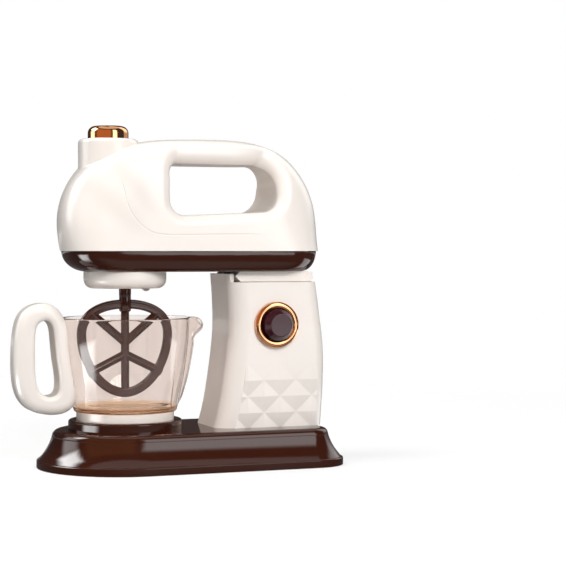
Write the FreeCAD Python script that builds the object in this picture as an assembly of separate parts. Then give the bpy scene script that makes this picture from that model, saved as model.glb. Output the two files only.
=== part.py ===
"""A toy stand mixer: brown base, cream column, tilting cream head, beater and clear bowl.

Millimetres. +Z is up, the nose and the bowl point to -X, and the origin is the centre of the
face that the base stands on.
"""

import FreeCAD, Part
import math
import os

from FreeCAD import Vector

# Clearances
touch_gap = 0.05
moving_gap = 0.3
running_gap = 0.05
wall_gap = 0.15

# Base
base_length = 220.0
base_width = 129.2
base_height = 27.4
base_corner = 27.0
base_wall = 2.2
rim_height = 6.0
skirt_inset = 11.1
base_edge_round = 5.0
plate_thickness = 2.0
bowl_x = (base_width - base_length) / 2.0

# Bowl seat on the base
seat_radius = 41.6
seat_top = base_height + 7.1
seat_floor = base_height + 3.6

# Column: its foot's front, and its outline as (share of the height, distance behind that front)
column_x = base_length / 2.0 - 93.5
column_height = 107.1
column_bottom = base_height
column_top = column_bottom + column_height
column_half_width = 30.0
column_front_corner = 13.0
column_wall = 2.2
column_front = [
    (0.0, 0.0), (0.155, 4.4), (0.323, 7.5), (0.491, 10.0), (0.659, 11.7), (0.846, 11.6),
    (1.061, 10.0),
]
column_rear = [
    (0.0, 83.2), (0.211, 84.7), (0.451, 85.5), (0.631, 84.5), (0.734, 83.0), (0.865, 81.1),
    (1.061, 77.9),
]
column_rear_corner = 9.0
lip_top = column_top + 6.1
lip_depth = 4.4
lip_half_width = column_half_width - 7.0

# Pyramid facets on the column's sides
facet_width = 25.3
facet_height = 24.0
facet_rise = 1.5
facet_first_x = column_x + 48.3
facet_top_row_z = base_height + 34.8
facet_rows = 4
facet_front_margin = 12.7
facet_rear_margin = 7.0
facet_sunk = 0.6

# Push button on the column
knob_x = column_x + 45.0
knob_z = base_height + 75.6
bezel_radius = 17.0
bezel_bore = 11.8
bezel_tube = 14.6
bezel_proud = 4.0
bezel_dish = 1.6
bezel_bead = 0.7
bezel_tube_end = 7.0
button_radius = 11.5
button_face_radius = 8.3
button_shoulder = 3.1
button_proud = 7.8
button_travel = 2.5
button_flange_end = -column_half_width + 4.0
button_stem_end = button_flange_end + 1.6

# Neck and hinge
hinge_radius = 2.9
hinge_pin_radius = 1.25
hinge_x = column_x + 73.5
hinge_z = column_top + hinge_radius + moving_gap + 0.05
ear_outer = column_half_width - 7.5
ear_inner = ear_outer - 6.5
neck_front = column_x + 15.5
neck_half_width = column_half_width - 5.0
neck_step = 0.8
neck_rear = hinge_x - hinge_radius - 0.7
hook_x = column_x + 16.5
hook_thickness = 1.6
hook_half_width = 5.0
hook_bottom = column_top - 3.0

# Tray under the head
tray_bottom = column_top + 7.9
tray_depth = 15.1
tray_wall = 2.0
tray_floor = tray_bottom + tray_wall
tray_step = 0.8
tray_side_inset = 7.0
tray_nose_inset = 19.0
tray_tail_inset = 11.0

# Drive cover and light
cover_radius = 30.2
cover_bottom = tray_bottom - 12.1
cover_wall = 2.0
cover_round = 6.5
light_x = bowl_x + 15.9
light_radius = 3.2
light_bottom = cover_bottom - 2.4
light_board_z = cover_bottom + 5.9

# Tilting head
seam_z = tray_bottom + tray_depth
head_height = 82.2
head_length = 193.5
head_nose_x = bowl_x - 46.4
head_width = 74.0
head_wall = 2.2
nose_length = 36.0
tail_length = 36.0
nose_power = 2.5
section_powers = [
    (-0.2, 2.5), (0.0, 2.6), (0.08, 3.4), (0.19, 4.6), (0.40, 3.9), (0.65, 3.4), (0.90, 2.8),
    (1.2, 2.5),
]
head_profile = [
    (0.0, 0.0), (-0.010, 0.14), (-0.014, 0.27), (-0.008, 0.40), (0.008, 0.52), (0.031, 0.62),
    (0.066, 0.725), (0.108, 0.805), (0.190, 0.900), (0.290, 0.965), (0.400, 0.992), (0.520, 1.0),
    (0.640, 0.999), (0.740, 0.975), (0.810, 0.930), (0.872, 0.850), (0.915, 0.750), (0.952, 0.620),
    (0.980, 0.460), (0.993, 0.250), (1.0, 0.0),
]
grip_low = seam_z + 25.3
grip_high = seam_z + head_height - 18.7
grip_hole = [
    (bowl_x + 25.0, grip_low), (bowl_x + 25.6, grip_high), (bowl_x + 111.0, grip_high),
    (bowl_x + 110.0, grip_low + 3.8),
]
grip_corners = [11.0, 8.5, 21.0, 14.0]
grip_edge_round = 8.0
side_line = [
    (-12.6, 52.5, 1.0), (-10.3, 44.5, 0.5), (-6.6, 30.5, 0.45), (-0.6, 21.3, 0.45), (9.0, 13.9, 0.45),
    (20.2, 11.7, 0.45), (45.0, 11.7, 0.45), (74.1, 12.0, 0.45), (91.9, 12.1, 0.6), (103.4, 12.1, 1.1),
]
side_line_radius = 0.8
shelf_radius = 30.0

# Collar and button on top of the head
collar_x = bowl_x - 12.5
collar_radius = 21.8
collar_top = seam_z + head_height - 0.8
collar_bottom = collar_top - 25.9
collar_floor = collar_top - 16.9
collar_floor_thickness = 2.5
top_button_radius = 14.8
top_button_top = collar_top + 9.5
top_button_travel = 3.0
top_button_bottom = collar_floor + top_button_travel + 7.5
top_stem_radius = 3.0

# Gears, module is pitch diameter over teeth
gear_module = 0.8
output_teeth = 44
small_teeth = 12
big_teeth = 40
pinion_teeth = 10
gear_low = tray_floor + 0.8
output_gear_z = (gear_low, gear_low + 4.0)
small_gear_z = (gear_low - 0.2, gear_low + 4.6)
big_gear_z = (gear_low + 5.0, gear_low + 8.2)
pinion_z = (gear_low + 4.8, gear_low + 8.3)
gear_plate_z = (gear_low + 8.7, gear_low + 10.3)
spindle_radius = 2.5
axle_radius = 1.5
motor_radius = 10.0
motor_half_depth = 7.7
motor_length = 23.0
motor_shaft_radius = 1.0
output_radius = gear_module * output_teeth / 2.0
small_radius = gear_module * small_teeth / 2.0
big_radius = gear_module * big_teeth / 2.0
pinion_radius = gear_module * pinion_teeth / 2.0
idler_x = bowl_x + output_radius + small_radius
motor_x = idler_x + big_radius + pinion_radius
bush_radius = 5.0
gear_post_radius = 2.8
gear_posts = [
    (bowl_x - 20.6, 8.0),
    (bowl_x - 20.6, -8.0),
    (motor_x + 11.0, 20.0),
    (motor_x + 11.0, -20.0),
]

# Bowl on its foot: heights over the clear part's lower edge, and outer radii
foot_radius = 35.7
foot_height = 9.3
foot_wall = 2.4
foot_bottom = seat_floor + moving_gap
bowl_base = foot_bottom + foot_height
bowl_profile = [
    (0.0, 37.2), (2.1, 38.0), (11.7, 40.1), (26.3, 43.0), (44.6, 45.6), (56.3, 46.7),
    (68.3, 47.4),
]
bowl_wall = 1.8
bowl_floor = bowl_base + 1.6
bowl_rim_z = bowl_base + bowl_profile[-1][0]
bowl_rim_radius = bowl_profile[-1][1]
spout_reach = 59.6
spout_drop = 9.9
spout_ridge = [
    (0.4, 38.6, 3.0), (5.4, 42.0, 3.6), (16.9, 46.0, 5.2), (32.4, 49.9, 7.4), (46.4, 52.4, 9.6),
    (55.4, 53.8, 10.8),
]
spout_beak = [
    (54.6, spout_reach - 5.6, 10.6), (56.8, spout_reach - 2.6, 11.2), (58.8, spout_reach - 0.2, 11.8),
    (62.9, spout_reach + 0.6, 12.6), (70.4, spout_reach + 0.8, 13.4),
]

# Beater
beater_half_width = 36.0
beater_height = 71.5
beater_bottom = bowl_floor + 8.3
beater_top = beater_bottom + beater_height
beater_widest_z = beater_bottom + 46.0
beater_rim = 6.8
beater_crown_share = 0.82
beater_rib = 6.2
beater_thickness = 4.4
beater_web = 2.6
stem_radius = 4.4
stem_top = cover_bottom + 5.7
spindle_bottom = beater_top - 5.0
upper_joint_z = beater_widest_z - 6.0
lower_joint_z = beater_widest_z - 14.5
upper_rib_end = (26.5, beater_widest_z + 16.5)
lower_rib_end = (27.5, beater_widest_z - 28.0)

# Bowl handle
handle_half_thickness = 11.5
handle_outer_round = 7.0
handle_hole_round = 3.6
handle_outer = [
    (-44.6, 64.4), (-49.0, 71.8), (-53.0, 76.4), (-58.6, 79.0), (-65.6, 79.2), (-72.6, 77.0),
    (-78.2, 72.0), (-82.0, 62.4), (-83.8, 43.4), (-83.2, 23.4), (-79.8, 11.4), (-72.6, 3.4),
    (-61.6, -0.4), (-50.6, -0.7), (-42.0, 3.0), (-37.8, 11.4), (-38.6, 23.4), (-40.8, 37.4),
    (-42.4, 51.4),
]
handle_hole = [
    (-62.2, 66.9), (-66.6, 64.2), (-68.5, 57.4), (-68.8, 39.4), (-68.0, 23.4), (-65.2, 15.8),
    (-58.6, 12.4), (-53.0, 14.2), (-51.2, 20.4), (-53.0, 37.4), (-55.0, 57.4), (-57.2, 64.8),
]

# Batteries
cell_radius = 7.1
cell_length = 50.5
cell_pitch = 15.2
cell_start_x = base_length / 2.0 - 72.0
cell_z = plate_thickness + moving_gap + cell_radius
battery_wall = 1.6
cover_margin = 0.3
battery_x = (cell_start_x - 3.0, cell_start_x + cell_length + 3.4)
battery_y = 1.5 * cell_pitch + 0.5
battery_top = cell_z + cell_radius + 0.6
tongue_length = 7.5
tongue_half_width = 5.0
finger_ribs = 5

# Screws and the posts that take them
screw_shank = 1.3
screw_head = 2.7
screw_head_height = 1.1
thread_hole = screw_shank + touch_gap
free_hole = 1.6
recess_radius = screw_head + 0.5
boss_radius = 3.6
screw_sink = 4.0
head_sink = 1.2
sunk_head = head_sink - screw_head_height
pillar_radius = 3.6
pillar_hole_top = 16.0
pillar_x = base_length / 2.0 - 26.0
pillar_places = [
    (bowl_x - seat_radius - 5.4, 0.0),
    (bowl_x + 25.4, base_width / 2.0 - 18.6),
    (bowl_x + 25.4, 18.6 - base_width / 2.0),
    (pillar_x, base_width / 2.0 - 24.6),
    (pillar_x, 24.6 - base_width / 2.0),
]
foot_screw_y = column_half_width - 13.0
foot_boss_height = 14.0
column_screw_places = [
    (column_x + 5.5, foot_screw_y),
    (column_x + 5.5, -foot_screw_y),
    (column_x + 73.5, foot_screw_y),
    (column_x + 73.5, -foot_screw_y),
]
cross_screws = [
    (column_x + 17.9, column_top - 13.5),
    (column_x + 75.5, base_height + 34.6),
    (column_x + 12.4, base_height + 19.6),
]
cross_tip = -12.0
cross_recess_depth = 7.0
tray_screw_front_y = head_width / 2.0 - 18.0
tray_screw_rear_y = head_width / 2.0 - 15.0
tray_screws = [
    (bowl_x - 16.6, tray_screw_front_y),
    (bowl_x + 111.4, tray_screw_rear_y),
    (bowl_x - 16.6, -tray_screw_front_y),
    (bowl_x + 111.4, -tray_screw_rear_y),
]
head_cross = [
    (head_nose_x + 13.8, seam_z + 23.5),
    (head_nose_x + head_length - 17.7, seam_z + 20.5),
    (bowl_x + 17.4, seam_z + head_height - 32.7),
]
head_boss_top = seam_z + 14.5
head_recess_y = 14.0
neck_screws = [
    (neck_front + 16.0, 14.0),
    (neck_front + 16.0, -14.0),
    (neck_front + 44.0, 17.0),
    (neck_front + 44.0, -17.0),
]
cover_screws = [(bowl_x - 4.4, 24.0), (bowl_x - 4.4, -24.0)]

# Switch board and leads
board_y = -column_half_width + 14.6
board_thickness = 1.6
board_half_x = 18.0
board_half_z = 15.0
board_posts = [(-15.0, -12.0), (15.0, -12.0), (-15.0, 12.0), (15.0, 12.0)]
lead_radius = 1.1
lead_x = knob_x - 1.5
lead_y = 6.0
lead_exit_x = column_x + 57.5
lead_play = 1.5


def box(x, y, z):
    """A block between three (low, high) pairs."""
    return Part.makeBox(x[1] - x[0], y[1] - y[0], z[1] - z[0], Vector(x[0], y[0], z[0]))


def post(radius, z, x=0.0, y=0.0):
    """An upright cylinder between two heights."""
    return Part.makeCylinder(radius, z[1] - z[0], Vector(x, y, z[0]))


def bar_y(radius, y, x, z):
    """A cylinder along Y between two values of y."""
    return Part.makeCylinder(radius, y[1] - y[0], Vector(x, y[0], z), Vector(0, 1, 0))


def bar_x(radius, x, y, z):
    """A cylinder along X between two values of x."""
    return Part.makeCylinder(radius, x[1] - x[0], Vector(x[0], y, z), Vector(1, 0, 0))


def join(shapes):
    """One solid from shapes that overlap."""
    return shapes[0].multiFuse(shapes[1:]).removeSplitter()


def mirrored(shape):
    """The same shape on the other side of the middle plane."""
    return shape.mirror(Vector(0, 0, 0), Vector(0, 1, 0))


def upright_face(points, y=0.0):
    """A face with straight edges in a plane of constant y, from (x, z) points."""
    corners = [Vector(x, y, z) for x, z in points]
    return Part.Face(Part.makePolygon(corners + corners[:1]))


def smooth_edge(points):
    """One spline edge through points."""
    curve = Part.BSplineCurve()
    curve.interpolate(points)
    return curve.toShape()


def closed_spline_face(points):
    """A flat face inside a closed spline through points."""
    curve = Part.BSplineCurve()
    curve.interpolate(points, PeriodicFlag=True)
    return Part.Face(Part.Wire([curve.toShape()]))


def rounded_face(points, radii, y):
    """A face in a plane of constant y whose corners are arcs of the given radii."""
    count = len(points)
    starts = []
    for i in range(count):
        corner = Vector(points[i][0], y, points[i][1])
        before = Vector(points[i - 1][0], y, points[i - 1][1]) - corner
        after = Vector(points[(i + 1) % count][0], y, points[(i + 1) % count][1]) - corner
        half = before.getAngle(after) / 2.0
        reach = radii[i] / math.tan(half)
        reach = min(reach, 0.48 * before.Length, 0.48 * after.Length)
        radius = reach * math.tan(half)
        middle = before.normalize() + after.normalize()
        middle.normalize()
        centre = corner + middle * (radius / math.sin(half))
        starts.append((corner + before * reach, centre - middle * radius, corner + after * reach))
    edges = []
    for i in range(count):
        first, crown, last = starts[i]
        edges.append(Part.Arc(first, crown, last).toShape())
        following = starts[(i + 1) % count][0]
        if last.distanceToPoint(following) > 1e-6:
            edges.append(Part.LineSegment(last, following).toShape())
    return Part.Face(Part.Wire(edges))


def quarter_curve(angle, power):
    """A point of a unit superellipse's quarter, at a polar angle from the first axis."""
    c = max(math.cos(angle), 0.0)
    s = max(math.sin(angle), 0.0)
    radius = (c ** power + s ** power) ** (-1.0 / power)
    return radius * c, radius * s


def between(pairs, value):
    """The value at a place among (place, value) pairs, eased from each pair to the next."""
    for (low, first), (high, second) in zip(pairs, pairs[1:]):
        if value <= high:
            share = min(max((value - low) / (high - low), 0.0), 1.0)
            return first + (second - first) * (0.5 - 0.5 * math.cos(math.pi * share))
    return pairs[-1][1]


def save(name, shape):
    """Write one sub-part to its own file."""
    if not shape.isValid():
        print("not valid:", name)
    shape.exportStep("parts/" + name + ".step")


def screw(head_radius, head_height, shank_radius, length, top, direction):
    """A pan-head screw: the head's outer face is at top and the shank runs along direction."""
    head = Part.makeCylinder(head_radius, head_height, top, direction)
    shank = Part.makeCylinder(shank_radius, length, top, direction)
    slot_size = head_radius * 0.35
    cross = Part.makeCylinder(slot_size, head_height * 0.5, top, direction)
    return join([head, shank]).cut(cross)


# Base


def base_outline(inset, z):
    """The base's plan outline drawn in by inset: a half circle at the bowl end, round corners behind."""
    half = base_width / 2.0 - inset
    corner = base_corner - inset
    end = base_length / 2.0 - inset
    slant = corner * math.sqrt(0.5)
    points = [
        Vector(bowl_x, -half, z),
        Vector(end - corner, -half, z),
        Vector(end, corner - half, z),
        Vector(end, half - corner, z),
        Vector(end - corner, half, z),
        Vector(bowl_x, half, z),
    ]
    right_crown = Vector(end - corner + slant, corner - half - slant, z)
    left_crown = Vector(end - corner + slant, half - corner + slant, z)
    edges = [
        Part.LineSegment(points[0], points[1]).toShape(),
        Part.Arc(points[1], right_crown, points[2]).toShape(),
        Part.LineSegment(points[2], points[3]).toShape(),
        Part.Arc(points[3], left_crown, points[4]).toShape(),
        Part.LineSegment(points[4], points[5]).toShape(),
        Part.Arc(points[5], Vector(bowl_x - half, 0, z), points[0]).toShape(),
    ]
    return Part.Wire(edges)


def skirt_solid(inset, height, rim, round_radius):
    """The base's outer form drawn in by inset: a section swept round the outline, and a block inside it."""
    deep = skirt_inset + base_edge_round + 4.0
    side = -base_width / 2.0
    shoulder = skirt_inset + inset
    crest = shoulder + round_radius
    slant = round_radius * math.sqrt(0.5)

    def at(depth, z):
        return Vector(bowl_x, side + depth, z)

    edges = [
        Part.LineSegment(at(inset, 0), at(inset, rim - 1.0)).toShape(),
        Part.Arc(at(inset, rim - 1.0), at(inset + 0.5, rim - 0.3), at(inset + 1.4, rim)).toShape(),
        Part.Arc(at(inset + 1.4, rim), at(inset + 0.66 * skirt_inset, rim + 0.36 * (height - rim)),
                 at(shoulder, height - round_radius)).toShape(),
        Part.Arc(at(shoulder, height - round_radius), at(crest - slant, height - round_radius + slant),
                 at(crest, height)).toShape(),
        Part.LineSegment(at(crest, height), at(deep, height)).toShape(),
        Part.LineSegment(at(deep, height), at(deep, 0)).toShape(),
        Part.LineSegment(at(deep, 0), at(inset, 0)).toShape(),
    ]
    swept = base_outline(0.0, 0.0).makePipeShell([Part.Wire(edges)], True, True)
    core = Part.Face(base_outline(deep - 0.5, 0.0)).extrude(Vector(0, 0, height))
    return join([swept, core])


def make_base_shell():
    outer = skirt_solid(0.0, base_height, rim_height, base_edge_round)
    inner = skirt_solid(base_wall, base_height - base_wall, rim_height - 1.0, base_edge_round - 1.5)
    seat = post(seat_radius, (base_height - 1.0, seat_top), bowl_x)
    seat = seat.makeFillet(1.6, [e for e in seat.Edges if abs(e.BoundBox.ZMin - seat_top) < 1e-6
                                 and abs(e.BoundBox.ZMax - seat_top) < 1e-6])
    shell = join([outer, seat]).cut(inner)
    recess = post(foot_radius + 0.6, (seat_floor, seat_top + 1.0), bowl_x)
    hollow = post(seat_radius - base_wall, (base_height - base_wall - 1.0, seat_floor - base_wall), bowl_x)
    shell = shell.cut(recess).cut(hollow)
    ring = [shell]
    for x, y in pillar_places:
        ring.append(post(pillar_radius, (plate_thickness, base_height - base_wall + 0.5), x, y))
    shell = join(ring)
    for x, y in pillar_places:
        shell = shell.cut(post(thread_hole, (plate_thickness - 1.0, pillar_hole_top), x, y))
    for x, y in column_screw_places:
        shell = shell.cut(post(free_hole, (base_height - base_wall - 1.0, base_height + 1.0), x, y))
    top = (base_height - base_wall - 1.0, base_height + 1.0)
    return shell.cut(post(lead_radius + lead_play, top, lead_x, lead_y))


def make_bottom_plate():
    """The closing plate with the battery box standing on it."""
    inset = base_wall + touch_gap * 3.0
    plate = Part.Face(base_outline(inset, 0.0)).extrude(Vector(0, 0, plate_thickness))
    low_x, high_x = battery_x
    side = battery_y + battery_wall
    upper = plate_thickness - 0.5
    lid = battery_top + battery_wall
    shell = box((low_x - battery_wall, high_x + battery_wall), (-side, side), (upper, lid))
    inner = box((low_x, high_x), (-battery_y, battery_y), (-1.0, battery_top))
    tab_y = tongue_half_width + battery_wall
    tab_end = high_x + tongue_length + battery_wall
    tab = box((high_x, tab_end), (-tab_y, tab_y), (upper, plate_thickness + 5.0))
    plate = join([plate, shell, tab]).cut(inner)
    tongue_y = (-tongue_half_width, tongue_half_width)
    plate = plate.cut(box((high_x - 0.1, high_x + tongue_length), tongue_y, (-1.0, plate_thickness)))
    screw_x = high_x + tongue_length / 2.0
    plate = plate.cut(post(thread_hole, (plate_thickness - 1.0, plate_thickness + 4.0), screw_x))
    for x, y in pillar_places:
        plate = plate.cut(post(free_hole, (-1.0, plate_thickness + 1.0), x, y))
        plate = plate.cut(post(screw_head + 0.3, (-1.0, head_sink), x, y))
    return plate


def make_battery_cover():
    """The cover between the box's walls, with a screwed tongue and finger ribs."""
    low_x, high_x = battery_x
    margin = cover_margin
    side = battery_y - margin
    tongue_y = tongue_half_width - margin
    cover = box((low_x + margin, high_x - margin), (-side, side), (0.0, plate_thickness))
    tongue = box((high_x - margin - 1.0, high_x + tongue_length - margin), (-tongue_y, tongue_y),
                 (0.0, plate_thickness - touch_gap))
    cover = join([cover, tongue])
    screw_x = high_x + tongue_length / 2.0
    cover = cover.cut(post(free_hole, (-1.0, plate_thickness + 1.0), screw_x))
    cover = cover.cut(post(screw_head + 0.3, (-1.0, head_sink), screw_x))
    for i in range(finger_ribs):
        x = low_x + 8.0 + 3.0 * i
        cover = cover.cut(box((x, x + 1.2), (-9.0, 9.0), (-0.1, 0.6)))
    return cover


def make_cells():
    cells = []
    for row in (-1, 0, 1):
        y = row * cell_pitch
        forward = row != 0
        can = bar_x(cell_radius, (cell_start_x, cell_start_x + cell_length - 1.2), y, cell_z)
        nub_x = (cell_start_x + cell_length - 1.4, cell_start_x + cell_length)
        cell = join([can, bar_x(2.7, nub_x, y, cell_z)])
        if not forward:
            cell = cell.mirror(Vector(cell_start_x + cell_length / 2.0, 0, 0), Vector(1, 0, 0))
        cells.append(cell)
    return Part.makeCompound(cells)


def make_contacts():
    """Plates at both ends, each with a cone spring or a pressed bump that meets its cell."""
    plate = 0.5
    overhang = 5.5
    spring = (4.6, 2.6)
    bump = (3.0, 1.6)
    low_plate = (battery_x[0] + touch_gap, battery_x[0] + touch_gap + plate)
    high_plate = (battery_x[1] - touch_gap - plate, battery_x[1] - touch_gap)
    z = (plate_thickness + 2.0, battery_top - 1.0)
    pieces = []
    for x, first, last in ((low_plate, -1, 0), (low_plate, 1, 1), (high_plate, 0, 1), (high_plate, -1, -1)):
        pieces.append(box(x, (first * cell_pitch - overhang, last * cell_pitch + overhang), z))
    low_reach = cell_start_x - low_plate[1] - 0.1
    high_reach = high_plate[0] - cell_start_x - cell_length - 0.1
    for row in (-1, 0, 1):
        low_foot = Vector(low_plate[1], row * cell_pitch, cell_z)
        high_foot = Vector(high_plate[0], row * cell_pitch, cell_z)
        low_radii, high_radii = (bump, spring) if row == 0 else (spring, bump)
        pieces.append(Part.makeCone(low_radii[0], low_radii[1], low_reach, low_foot, Vector(1, 0, 0)))
        pieces.append(Part.makeCone(high_radii[0], high_radii[1], high_reach, high_foot, Vector(-1, 0, 0)))
    return Part.makeCompound(join(pieces).Solids)


# Column


def column_face(front_inset, rear_inset, low, high):
    """The column's side silhouette between two heights, drawn in at front and rear."""
    front_x = column_x + front_inset
    rear_x = column_x - rear_inset
    front = [Vector(front_x + x, 0, column_bottom + share * column_height) for share, x in column_front]
    rear = [Vector(rear_x + x, 0, column_bottom + share * column_height) for share, x in column_rear]
    front_edge = smooth_edge(front)
    rear_edge = smooth_edge(rear)
    edges = [
        front_edge,
        Part.LineSegment(front[-1], rear[-1]).toShape(),
        rear_edge,
        Part.LineSegment(rear[0], front[0]).toShape(),
    ]
    face = Part.Face(Part.Wire(Part.__sortEdges__(edges)))
    strip = upright_face([(-200, low), (200, low), (200, high), (-200, high)])
    return face.common(strip)


def column_solid(inset, low, high):
    """The silhouette carried across the width, with its four upright edges rounded."""
    half = column_half_width - inset
    face = column_face(inset, inset, low, high)
    face.translate(Vector(0, -half, 0))
    block = face.extrude(Vector(0, 2.0 * half, 0))
    for radius, side in ((column_front_corner, -1.0), (column_rear_corner, 1.0)):
        upright = []
        for edge in block.Edges:
            bounds = edge.BoundBox
            at_corner = side * (bounds.Center.x - knob_x) > 0.3 * column_half_width
            tall = bounds.ZLength > 0.8 * (high - low)
            if tall and at_corner and abs(abs(bounds.YMin) - half) < 1e-3 and bounds.YLength < 1e-3:
                upright.append(edge)
        block = block.makeFillet(radius - inset, upright)
    return block


def pyramid(x, z, half_x, half_z, sunk):
    """A four-sided pyramid on the column's left side, its foot sunk into the wall."""
    grow = (facet_rise + sunk) / facet_rise
    y = -column_half_width + sunk
    corners = [
        Vector(x - half_x * grow, y, z),
        Vector(x, y, z - half_z * grow),
        Vector(x + half_x * grow, y, z),
        Vector(x, y, z + half_z * grow),
    ]
    apex = Vector(x, -column_half_width - facet_rise, z)
    faces = [Part.Face(Part.makePolygon(corners + corners[:1]))]
    for i in range(4):
        faces.append(Part.Face(Part.makePolygon([corners[i], corners[(i + 1) % 4], apex, corners[i]])))
    solid = Part.Solid(Part.Shell(faces))
    if solid.Volume < 0:
        solid.reverse()
    return solid


def make_facets():
    """The pyramids in staggered rows, cut where the side's flat part ends."""
    pieces = []
    for row in range(facet_rows):
        z = facet_top_row_z - row * facet_height / 2.0
        shift = 0.5 * facet_width if row % 2 else 0.0
        for step in range(-2, 3):
            x = facet_first_x + step * facet_width + shift
            pieces.append(pyramid(x, z, facet_width / 2.0, facet_height / 2.0, facet_sunk))
    field = join(pieces)
    limit = column_face(facet_front_margin, facet_rear_margin, column_bottom, column_top)
    limit.translate(Vector(0, -column_half_width - 5.0, 0))
    return field.common(limit.extrude(Vector(0, 10.0, 0)))


def column_common():
    """What both column halves are cut from: a closed-top shell with a lip, bosses and the hook's slot."""
    outer = column_solid(0.0, column_bottom, lip_top)
    inner = column_solid(column_wall, column_bottom, column_top - column_wall)
    middle = column_solid(column_wall / 2.0, column_bottom, column_top)
    lip_x = column_x + column_front[-1][1] + lip_depth
    above = (column_top, lip_top + 1.0)
    outer = outer.cut(box((lip_x, 200.0), (-60.0, 60.0), above))
    outer = outer.cut(box((0.0, 200.0), (-60.0, -lip_half_width), above))
    outer = outer.cut(box((0.0, 200.0), (lip_half_width, 60.0), above))
    bosses = []
    for x, y in column_screw_places:
        foot_z = (column_bottom, column_bottom + foot_boss_height)
        web_x = (x, column_x + column_rear[0][1]) if x > knob_x else (column_x, x)
        web = box(web_x, (y - 1.0, y + 1.0), foot_z)
        bosses.append(join([post(boss_radius - 0.2, foot_z, x, y), web]).common(middle))
    for x, z in cross_screws:
        bosses.append(bar_y(boss_radius, (-column_half_width, 0.0), x, z).common(middle))
        bosses.append(bar_y(boss_radius + 1.0, (0.0, column_half_width), x, z).common(middle))
    for side in (-1.0, 1.0):
        low = min(side * ear_inner, side * ear_outer)
        high = max(side * ear_inner, side * ear_outer)
        foot = box((hinge_x - hinge_radius, hinge_x + hinge_radius), (low, high), (column_top - 1.0, hinge_z))
        bosses.append(join([foot, bar_y(hinge_radius, (low, high), hinge_x, hinge_z)]))
    shell = join([outer.cut(inner)] + bosses)
    shell = shell.cut(bar_y(hinge_pin_radius + 0.03, (-ear_outer - 1.0, ear_outer + 1.0), hinge_x, hinge_z))
    for x, y in column_screw_places:
        depth = (column_bottom - 1.0, column_bottom + foot_boss_height - 1.5)
        shell = shell.cut(post(thread_hole, depth, x, y))
    for x, z in cross_screws:
        shell = shell.cut(bar_y(thread_hole, (cross_tip - 1.0, 1.0), x, z))
        shell = shell.cut(bar_y(free_hole, (0.0, column_half_width + 1.0), x, z))
    slot = box((hook_x - 0.6, hook_x + hook_thickness + 1.0), (-hook_half_width - 0.6, hook_half_width + 0.6),
               (column_top - column_wall - 1.0, column_top + 3.0))
    shell = shell.cut(slot)
    lead_slot = box((lead_exit_x - 4.0, lead_exit_x + 4.0), (lead_y - 3.0, lead_y + 3.0),
                    (column_top - column_wall - 1.0, column_top + 1.0))
    return shell.cut(lead_slot)


def half_space(side):
    """Everything on one side of the middle plane: -1 is the left side, towards -Y."""
    return box((-300.0, 300.0), (-300.0, 0.0) if side < 0 else (0.0, 300.0), (-50.0, 400.0))


def make_column_left(common, facets):
    shell = common.common(half_space(-1))
    posts = []
    post_y = (-column_half_width + 0.5, board_y - board_thickness)
    for dx, dz in board_posts:
        posts.append(bar_y(2.2, post_y, knob_x + dx, knob_z + dz))
    shell = join([shell, facets] + posts)
    for dx, dz in board_posts:
        shell = shell.cut(bar_y(0.85, (board_y - board_thickness - 6.0, board_y), knob_x + dx, knob_z + dz))
    hole = (-column_half_width - facet_rise, -column_half_width + 2.0 * column_wall)
    return shell.cut(bar_y(bezel_tube + touch_gap, hole, knob_x, knob_z))


def make_column_right(common, facets):
    shell = join([common.common(half_space(1)), mirrored(facets)])
    for x, z in cross_screws:
        recess = (column_half_width - cross_recess_depth, column_half_width + 5.0)
        shell = shell.cut(bar_y(recess_radius, recess, x, z))
    return shell


def turned(points):
    """A solid turned about the push button's axis from (radius, distance out of the side) points."""
    side = -column_half_width
    corners = [Vector(knob_x + radius, side - out, knob_z) for radius, out in points]
    face = Part.Face(Part.makePolygon(corners + corners[:1]))
    return face.revolve(Vector(knob_x, side, knob_z), Vector(0, 1, 0), 360)


def make_bezel():
    """A dished ring with a bead round it and a tube that reaches through the wall."""
    crest = bezel_radius - bezel_bead
    shoulder = bezel_bore + 1.6
    spring_line = bezel_proud - bezel_bead
    section = [(bezel_radius, 0.0), (bezel_radius, spring_line)]
    for step in range(1, 8):
        angle = math.pi * step / 8.0
        section.append((crest + bezel_bead * math.cos(angle), spring_line + bezel_bead * math.sin(angle)))
    section += [(crest - bezel_bead, spring_line), (bezel_bore, bezel_dish), (bezel_bore, -2.0)]
    section += [(shoulder, -2.0), (shoulder, -bezel_tube_end), (bezel_tube, -bezel_tube_end), (bezel_tube, 0.0)]
    return turned(section)


def make_power_button():
    """A tapered cap with a flange that stops behind the ring's shoulder."""
    face_y = -column_half_width
    shoulder = face_y - bezel_proud - button_shoulder
    front = face_y - bezel_proud - button_proud
    barrel = bar_y(button_radius, (shoulder, face_y + 2.5), knob_x, knob_z)
    crown = Part.makeCone(button_radius, button_face_radius, shoulder - front,
                          Vector(knob_x, shoulder, knob_z), Vector(0, -1, 0))
    cap = join([barrel, crown])
    rims = [e for e in cap.Edges if e.BoundBox.YLength < 1e-6 and e.BoundBox.YMax < shoulder + 0.01]
    cap = cap.makeFillet(0.7, rims)
    flange = bar_y(bezel_bore + 1.2, (face_y + 2.3, button_flange_end), knob_x, knob_z)
    cap = join([cap, flange])
    cap = cap.cut(bar_y(button_radius - 2.2, (shoulder + 1.5, face_y + 5.0), knob_x, knob_z))
    return join([cap, bar_y(2.6, (shoulder + 1.0, button_stem_end), knob_x, knob_z)])


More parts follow.
